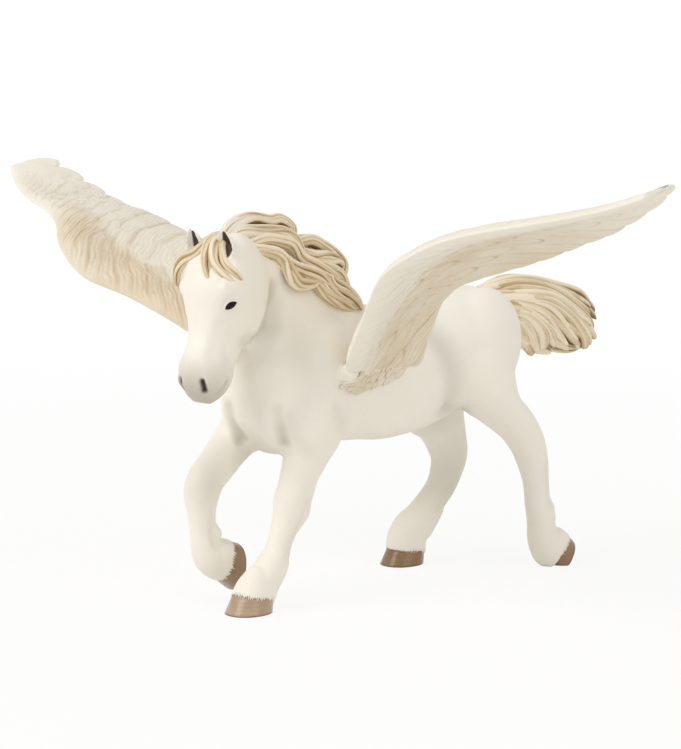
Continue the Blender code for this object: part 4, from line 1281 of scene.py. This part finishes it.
# The locks of the mane and of the forelock, from root to tip: (forward, left, up).
MANE = [
    [(54, 4, 101.5), (51, 3.5, 104), (46.5, 3, 105.4), (42, 2, 105.4), (37, 2, 104.6), (33, 2, 105),
     (29.5, 3, 103), (29.5, 4, 100)],
    [(53, 5.5, 100.5), (49.5, 5.5, 102.5), (44.5, 6, 102.3), (35, 5, 101.5), (32, 6, 100), (31, 7, 98),
     (30, 8, 94.5), (25, 8, 92.5)],
    [(49.5, 6, 99), (43, 7, 100.5), (36.5, 7, 99.5), (33, 7, 98), (31, 8, 95), (26.5, 8.5, 93), (20, 8.5, 90),
     (16, 8, 88)],
    [(48, 7, 98), (44, 8, 97.5), (40, 8.5, 96.5), (37.5, 9, 94.5), (34.5, 10, 92.5), (28, 10.5, 90.5),
     (24.5, 10.5, 88.5), (18, 10, 83.5)],
    [(31, 4, 98.5), (23.5, 3, 99), (18.5, 3, 97), (14.5, 4, 94.5), (12.5, 5, 92), (13.5, 6, 88)],
    [(29.5, 6, 96.5), (25.5, 7, 95), (21, 7, 94.5), (15.5, 6, 93.5), (13, 6, 92)],
    [(37.5, 9.5, 95), (36.5, 10.5, 91.5), (34.5, 11, 89), (30, 11, 88.5), (26, 10.5, 89)],
    [(21.5, 8, 91.5), (20, 8.5, 88), (15, 8, 85.5), (10, 7, 82.5), (4.5, 4, 79.5)],
    [(28, 10, 90.5), (25, 10.5, 87), (21.5, 10.5, 84.5), (17, 9.5, 82.5), (9.5, 7, 80)],
    [(46, 0, 102), (38, -1, 102.5), (30, -2, 99.5), (23, -2, 96), (16, -2, 91), (9, -1, 85), (2, 0, 80.5)],
    [(46, -4, 101), (41, -7.5, 99), (37, -9.5, 93), (32, -10.5, 89), (27, -10, 85.5)],
    [(40, -4, 101), (34, -8, 97), (29, -9.5, 92), (23, -10, 87.5), (17, -9.5, 83)],
    [(32, -4, 98), (26, -7, 93), (20, -9, 88.5), (13, -8.5, 83.5), (7, -6.5, 80)],
    [(29.5, 5.5, 96.5), (24.5, 6.5, 94), (18.5, 6.5, 91.5), (14, 6, 89), (11, 6, 84.5)],
]
FORELOCK = [
    [(52, 2, 101.5), (57, 3, 101), (60, 1, 98), (60.5, -3.5, 96), (60.5, -7, 92.5), (59, -9.5, 88)],
    [(52, 3, 101.5), (58, 4, 100.5), (60.5, 5, 96.5), (61, 6.5, 92), (60, 8.5, 87.5)],
    [(52, 4, 101.5), (58, 5.5, 100), (60, 7.5, 95.5), (58.5, 10.5, 91.5), (54.5, 12.5, 89)],
    [(52, 5, 101), (57, 6.5, 99.5), (58.5, 9, 95), (56.5, 11.8, 92), (54.5, 12.5, 90)],
]

# The core under the mane: (forward, left, up, reach below, reach above, half width).
MANE_CORE = [
    (47, 1, 100, 3, 3, 5),
    (40, 0.5, 99.5, 4.5, 3.5, 7),
    (31, 0.5, 96, 6, 4.5, 8),
    (22, 0, 91, 6, 4.5, 7.5),
    (13, 0, 85.5, 5, 3.5, 6),
    (5, 0, 80.5, 2.5, 2, 4),
]
MANE_RIDGES = (-0.9, -0.65, -0.4, -0.1, 0.2)
POLL_HAIR = (51.0, 3.0, 103.5)
FORELOCK_HALF = 1.5
FORELOCK_STRAND = 0.78
FORELOCK_STRANDS = 4
HAIR_CREAM = (241, 226, 199)
HAIR_TAN = (194, 168, 122)
HAIR_BROWN = (128, 100, 60)
DRY_CREAM = (251, 242, 222)
POLL_WHITE = (240, 238, 228)
DEEP_TAN = (178, 150, 106)
DEEP_BROWN = (122, 94, 58)


def resampled(rows, count):
    """A smooth path through the rows, with its points evenly spaced."""
    path = smooth_rows(rows, 8)
    travel = np.concatenate([[0.0], np.cumsum(np.linalg.norm(np.diff(path, axis=0), axis=1))])
    even = np.linspace(0, travel[-1], count)
    return np.stack([np.interp(even, travel, path[:, axis]) for axis in range(3)], 1)


def lie_of(places, axis):
    """For a path over a core: the ways away from the core's axis, and the ways across the path."""
    nearest = np.array([axis[np.argmin(np.linalg.norm(axis - place, axis=1))] for place in places])
    faces = places - nearest
    runs = np.gradient(places, axis=0)
    runs /= np.linalg.norm(runs, axis=1)[:, None]
    faces -= runs * np.sum(faces * runs, axis=1)[:, None]
    faces /= np.maximum(np.linalg.norm(faces, axis=1), 1e-6)[:, None]
    return faces, np.cross(runs, faces)


def lock_swell(shares):
    """How full a lock is along its length: slim at the root, and tapering to its end."""
    return 0.25 + 0.75 * np.sin(math.pi * np.minimum(1.0, 0.15 + shares * 0.85)) ** 0.6


def under_paths(locks, axis, half, length=1.0):
    """One thick path down every lock, or down the first part of it."""
    paths = []
    for lock in locks:
        places = resampled(lock, 34)[:round(34 * length)]
        shares = np.linspace(0, 1, len(places))
        paths.append((places, half * lock_swell(shares), lie_of(places, axis)[0]))
    return paths


def strand_paths(locks, axis, half, strands, radius, spread=72.0):
    """Strands combed side by side over the outer half of every lock, each drifting a little across it."""
    paths = []
    for number, lock in enumerate(locks):
        places = resampled(lock, 40)
        faces, across = lie_of(places, axis)
        shares = np.linspace(0, 1, len(places))
        swell = lock_swell(shares)
        for strand, degrees in enumerate(np.linspace(-spread, spread, strands)):
            phase = number * 2.1 + strand * 1.7
            angle = math.radians(degrees) + 0.22 * np.sin(shares * 6.0 + phase)
            reach = half * swell * (0.80 + 0.10 * np.sin(phase * 3.1 + shares * 4.0))
            offset = across * (np.sin(angle) * reach)[:, None] + faces * (np.cos(angle) * reach)[:, None]
            outward = across * np.sin(angle)[:, None] + faces * np.cos(angle)[:, None]
            width = radius * swell * (1.0 + 0.22 * math.sin(phase * 2.3))
            paths.append((places + offset, width, outward))
    return paths


def make_hair_paint():
    """Cream on the crest of every strand, tan down its sides and brown in the grooves."""
    material, tree, shader, place = new_paint("washed_cream_hair_paint", gloss=0.45)
    crest, across, tint, pale = (mask_reading(tree, name) for name in ("crest", "across", "tint", "pale"))
    cloud, speck = noise(tree, place, 120, 3), noise(tree, place, 1000, 3)
    drift = noise(tree, place, 300, 2)
    lines = (across * 8 + drift * 5 + tint * 9).sine() * 0.5 + 0.5
    wash = (1.0 - crest * 0.85 + (cloud - 0.5) * 1.3 + (tint - 0.5) * 1.1 + (1 - lines) * 0.4).clamp()
    brown = ((0.36 - crest) * 1.9 + (cloud - 0.5) * 0.9 + (speck - 0.5) * 0.5).clamp()
    dry = ((crest - 0.72) * 2.6 * (speck + 0.4)).clamp()
    colour = paint_over(tree, HAIR_CREAM, (wash, HAIR_TAN), (brown * 0.85, HAIR_BROWN),
                        (dry * 0.6, DRY_CREAM), (pale * (0.35 + crest * 0.5), POLL_WHITE))
    finish_paint(tree, shader, colour, lines * 0.5 + speck * 0.3, 0.10)
    return material


def make_deep_hair_paint():
    """The dark brown seen between the strands: the brown wash there, and painted shade in the deep gaps."""
    material, tree, shader, place = new_paint("brown_wash_and_shade_between_locks", gloss=0.3)
    cloud = noise(tree, place, 260, 3)
    finish_paint(tree, shader, blend_paint(tree, cloud, DEEP_TAN, DEEP_BROWN), cloud, 0.2)
    return material


def ridge_locks(core, shifts, top):
    """Locks along the upper or lower side of a core, at some shifts across it."""
    locks = []
    for shift in shifts:
        lock = []
        for i, (f, l, u, below, above, width) in enumerate(core):
            rise = (above if top else -below) * math.sqrt(1 - shift * shift) * 0.98
            lock.append((f, l + shift * width + 0.7 * math.sin(i * 1.9 + shift * 8), u + rise))
        locks.append(lock)
    return locks


def core_skin(name, rows, margin):
    """The solid middle that the locks lie on, a little slimmer than its rows."""
    clay = bmesh.new()
    add_limb(clay, [(f, l, u, a * margin, b * margin, w * margin) for f, l, u, a, b, w in rows], steps=6)
    return harden(name, clay)


hair_paint = make_hair_paint()
deep_hair_paint = make_deep_hair_paint()
mane_axis = smooth_rows([row[:3] for row in MANE_CORE], 8)
# The core is painted dark brown: the wash in the grooves and painted shade in the gaps between the locks.
add_piece("mane_core", core_skin("mane_core", MANE_CORE, 0.9), deep_hair_paint)
mane_locks = MANE + [[(f, -l, u - 0.6) for f, l, u in lock] for lock in MANE[2:5] + MANE[6:9]]
mane_locks += ridge_locks(MANE_CORE, MANE_RIDGES, True)
under = run_sweep("mane_locks", under_paths(mane_locks, mane_axis, MANE_LOCK * UNDER_SHARE), hair_paint,
                  sides=24, ribs=6, rib_depth=0.10, flatness=0.95)
add_piece("mane_locks", under, hair_paint)
paths = strand_paths(mane_locks, mane_axis, MANE_LOCK * 0.86, MANE_STRANDS, MANE_STRAND)
paths += strand_paths(FORELOCK, mane_axis, FORELOCK_HALF, FORELOCK_STRANDS, FORELOCK_STRAND, spread=66.0)
mane = run_sweep("mane_strands", paths, hair_paint, sides=14, ribs=3, rib_depth=0.06, flatness=0.9,
                 pale=(POLL_HAIR, 9.0))
add_piece("mane_strands", mane, hair_paint)


# The tail streams back from the dock in the same carved strands, broad and solid, and ends in hooked tips.
# The strands between two locks follow both of them, and they wrap the whole outside of the mass.
TAIL_LOCK = 2.9
TAIL_STRAND = 1.45
TAIL_WRAP = TAIL_STRAND + 0.4
STRANDS_BETWEEN = 3

# The inner locks, from the dock to their tips: (forward, left, up).
TAIL = [
    [(-44, 0, 80.5), (-50, 1, 82), (-57, 2, 82.6), (-68, 3, 82), (-78, 4, 79.6), (-88, 5, 75.6),
     (-93.5, 5, 70.5)],
    [(-45, -1, 79), (-52, -2, 80), (-62, -3, 79.5), (-73, -4, 76.5), (-84, -5, 72.5), (-93, -5, 69.5)],
    [(-46, 2, 79), (-54, 4, 79), (-61, 6, 78.5), (-71, 7, 76), (-82, 8, 72), (-91.5, 8, 67)],
    [(-46, 3, 78), (-52, 5, 77), (-61.5, 7, 75), (-72.5, 8, 71.4), (-83, 8, 66.4), (-91, 7, 62)],
    [(-46, 2, 77), (-52, 5, 74), (-59.5, 7, 71), (-70.5, 7, 66), (-82, 7, 61)],
    [(-46, 1, 75.5), (-51.5, 4, 72), (-57.5, 6, 67.5), (-66, 6, 63.5), (-74.5, 6, 61.5)],
    [(-46, -1, 76), (-52, -4, 74), (-60, -6, 70.5), (-70, -7, 65.5), (-79, -6, 61)],
    [(-46, 0, 74.5), (-51, -2, 70.5), (-56, -2, 65.5), (-62, -1, 60)],
    [(-47, 0, 78), (-58, 1, 77), (-70, 1, 75), (-82, 1, 71.5), (-91, 1, 68), (-97.5, 1, 69)],
    [(-47, -2, 78), (-58, -5, 77), (-69, -7, 74), (-80, -8, 69), (-88, -7, 64.5)],
    [(-47, 0, 76), (-58, 1, 73), (-70, 0, 68), (-80, 0, 63.5), (-88, 1, 61)],
]

# The core under them: (forward, left, up, reach below, reach above, half width).
TAIL_CORE = [
    (-46, 0, 78.5, 3.5, 3, 3),
    (-54, 0.5, 77.5, 4.5, 4, 4.5),
    (-64, 0.5, 74.5, 7, 6, 6.5),
    (-76, 0.5, 70.5, 7.5, 6.5, 7.5),
    (-85, 0.5, 67, 5, 5, 6),
    (-91, 0.5, 65.5, 2, 2, 3),
]
TAIL_RIDGES = (-0.6, -0.2, 0.2, 0.6)
RIDGE_HALF = 1.2
RIDGE_STRANDS = 3
RIDGE_STRAND = 0.9

# The paths that the outer strands follow down the left side, from the top of the tail to its underside.
# The right side mirrors them.
TAIL_COMBED = [
    [(-46, 0, 82), (-56.5, 1, 84.5), (-66.5, 2, 84), (-76.5, 3, 81.5), (-84.5, 4, 79), (-90, 3, 75.5),
     (-94.5, 2, 73)],
    [(-47, 0, 81), (-55.5, 3, 83), (-66, 5, 82), (-75.5, 6, 78.5), (-86, 5, 73), (-92, 3, 68.5)],
    [(-50, 1, 80), (-59, 5, 80), (-69, 7, 79), (-76, 8, 75), (-85, 7, 68.5), (-90.5, 5, 64)],
    [(-49, 2, 79), (-58, 6, 78.5), (-66.5, 8, 77), (-73.5, 9, 73), (-82, 8, 66.5), (-87, 6, 62.5)],
    [(-52, 3, 77.5), (-57.5, 7, 77), (-64.5, 9, 74), (-71.5, 8, 69), (-77.5, 7, 63.5)],
    [(-52, 3, 76.5), (-57, 7, 75.5), (-62, 8, 73), (-66.5, 8, 69), (-69.5, 7, 64)],
    [(-52.5, 3, 75), (-57, 7, 74), (-61, 8, 71), (-64, 8, 67.5), (-65.5, 7, 63)],
    [(-52.5, 3, 73.5), (-54.5, 6, 72.5), (-58, 7, 69.5), (-62, 6, 62)],
    [(-53.5, 2, 72.5), (-54.5, 5, 70), (-56, 6, 67.5), (-59, 5, 65.5)],
]


def wrap_paths(locks, axis, half, radius):
    """Strands over and between neighbouring locks, in order round one side of the mass."""
    paths = []
    for number, (first, second) in enumerate(zip(locks, locks[1:])):
        above, below = resampled(first, 44), resampled(second, 44)
        for step in range(STRANDS_BETWEEN + (number == len(locks) - 2)):
            share = step / STRANDS_BETWEEN
            phase = number * 2.3 + step * 1.9
            along = np.linspace(0, 1, len(above))
            sway = share + 0.10 * np.sin(along * 6.5 + phase)
            places = above * (1 - sway)[:, None] + below * sway[:, None]
            faces, across = lie_of(places, axis)
            rounded = np.sqrt(np.clip(1 - np.maximum((along - 0.9) / 0.102, 0) ** 2, 0, 1))
            swell = lock_swell(along * 0.75) * rounded
            reach = (half - radius) * swell * (0.9 + 0.25 * math.sin(phase * 2.7))
            hook = np.maximum(along - 0.86, 0) * 9.0 * math.sin(phase)
            places = places + faces * reach[:, None] + across * hook[:, None]
            paths.append((places, radius * swell * (1.0 + 0.16 * math.sin(phase * 3.3)), faces))
    return paths


tail_axis = smooth_rows([row[:3] for row in TAIL_CORE], 8)
# The tail's core is painted the same dark brown: wash and painted shade in the gaps.
add_piece("tail_core", core_skin("tail_core", TAIL_CORE, 0.85), deep_hair_paint)
under = run_sweep("tail_locks", under_paths(TAIL, tail_axis, TAIL_LOCK * UNDER_SHARE, length=0.88),
                  hair_paint, sides=30, ribs=7, rib_depth=0.10, flatness=0.95)
add_piece("tail_locks", under, hair_paint)
ridge = ridge_locks(TAIL_CORE, TAIL_RIDGES, True) + ridge_locks(TAIL_CORE, TAIL_RIDGES, False)
strands = wrap_paths(TAIL_COMBED, tail_axis, TAIL_WRAP, TAIL_STRAND)
strands += strand_paths(ridge, tail_axis, RIDGE_HALF, RIDGE_STRANDS, RIDGE_STRAND)
strands += wrap_paths([on_side(lock, -1) for lock in TAIL_COMBED], tail_axis, TAIL_WRAP, TAIL_STRAND)
tail = run_sweep("tail_strands", strands, hair_paint, sides=16, ribs=3, rib_depth=0.08, flatness=0.9)
add_piece("tail_strands", tail, hair_paint)


# The figurine stands alone on a plain pale floor that runs on to a white background, under a broad soft lamp
# from the front left and above, with a second, weaker one on its other side.
FLOOR_SIZE = 6.0
FLOOR_WHITE = (247, 246, 244)
FLOOR_PALE = (250, 249, 247)
FLOOR_GLOW = 0.86
SKY_TINT = (1.0, 0.985, 0.96)
SKY_STRENGTH = 0.62
PURE_WHITE = (1.0, 1.0, 1.0, 1.0)
CAMERA_PLACE = (0.5118, -0.4848, 0.1383)
CAMERA_TARGET = (0.0, -0.0239, 0.061)
CAMERA_LENS = 118.7

# The lamps: where each stands, what it is aimed at, its width, its watts and its colour.
LAMPS = {
    "front_left_softbox": ((-0.25, -1.15, 1), (0, -0.02, 0.06), 1, 9.3, (1, 0.987, 0.96)),
    "right_fill": ((1.2, 0.2, 0.7), (0, 0, 0.06), 1.2, 3.2, SKY_TINT),
}


def seen_directly(tree):
    """1 for the camera's rays, also after a mirror or glass, and 0 for the light that reaches the figure."""
    rays = [read(tree, "ShaderNodeLightPath", {}, out=name)
            for name in ("Is Camera Ray", "Is Glossy Ray", "Is Transmission Ray")]
    return (rays[0] + rays[1] + rays[2]).clamp()


def make_floor():
    """A pale floor that glows a little by itself, and more so away from the figure, where it turns white."""
    clay = bmesh.new()
    bmesh.ops.create_grid(clay, x_segments=24, y_segments=24, size=FLOOR_SIZE / 2)
    mesh = harden("floor", clay, outward=False)
    material, tree, shader, place = new_paint("pale_floor", gloss=0.2)
    shader.inputs["Specular IOR Level"].default_value = 0.1
    grain = blend_paint(tree, noise(tree, place, 30, 2), FLOOR_WHITE, FLOOR_PALE)
    tree.links.new(grain, shader.inputs["Base Color"])
    glow = add_node(tree, "ShaderNodeEmission", {}, Color=PURE_WHITE, Strength=1.0)
    away = read(tree, "ShaderNodeVectorMath", {"operation": "LENGTH"}, place, out="Value")
    far = ((away - 0.16) / 0.5).clamp()
    share = seen_directly(tree) * (FLOOR_GLOW + far * (1 - FLOOR_GLOW))
    mixed = add_node(tree, "ShaderNodeMixShader", {}, share, shader.outputs[0], glow)
    tree.links.new(mixed, tree.nodes["Material Output"].inputs["Surface"])
    mesh.materials.append(material)
    set_down("floor", mesh)


def make_world():
    world = bpy.data.worlds.new("white_studio")
    world.use_nodes = True
    tree = world.node_tree
    soft = tree.nodes["Background"]
    soft.inputs["Color"].default_value = (*SKY_TINT, 1.0)
    soft.inputs["Strength"].default_value = SKY_STRENGTH
    white = add_node(tree, "ShaderNodeBackground", {}, Color=PURE_WHITE, Strength=1.0)
    mixed = add_node(tree, "ShaderNodeMixShader", {}, seen_directly(tree), soft.outputs[0], white)
    tree.links.new(mixed, tree.nodes["World Output"].inputs["Surface"])
    bpy.context.scene.world = world


def aim(thing, place, target):
    """Stand a lamp or the camera at its place, looking at its target."""
    thing.location = place
    thing.rotation_euler = (Vector(target) - Vector(place)).to_track_quat("-Z", "Y").to_euler()


make_floor()
make_world()
for name, (place, target, width, watts, colour) in LAMPS.items():
    light = bpy.data.lights.new(name, "AREA")
    light.shape = "DISK"
    light.size = width
    light.energy = watts
    light.color = colour
    lamp = set_down(name, light)
    aim(lamp, place, target)
lens = bpy.data.cameras.new("photograph_view")
lens.lens = CAMERA_LENS
lens.clip_start = 0.01
view = set_down("photograph_view", lens)
aim(view, CAMERA_PLACE, CAMERA_TARGET)
bpy.context.scene.camera = view
bpy.context.scene.view_settings.view_transform = "Standard"
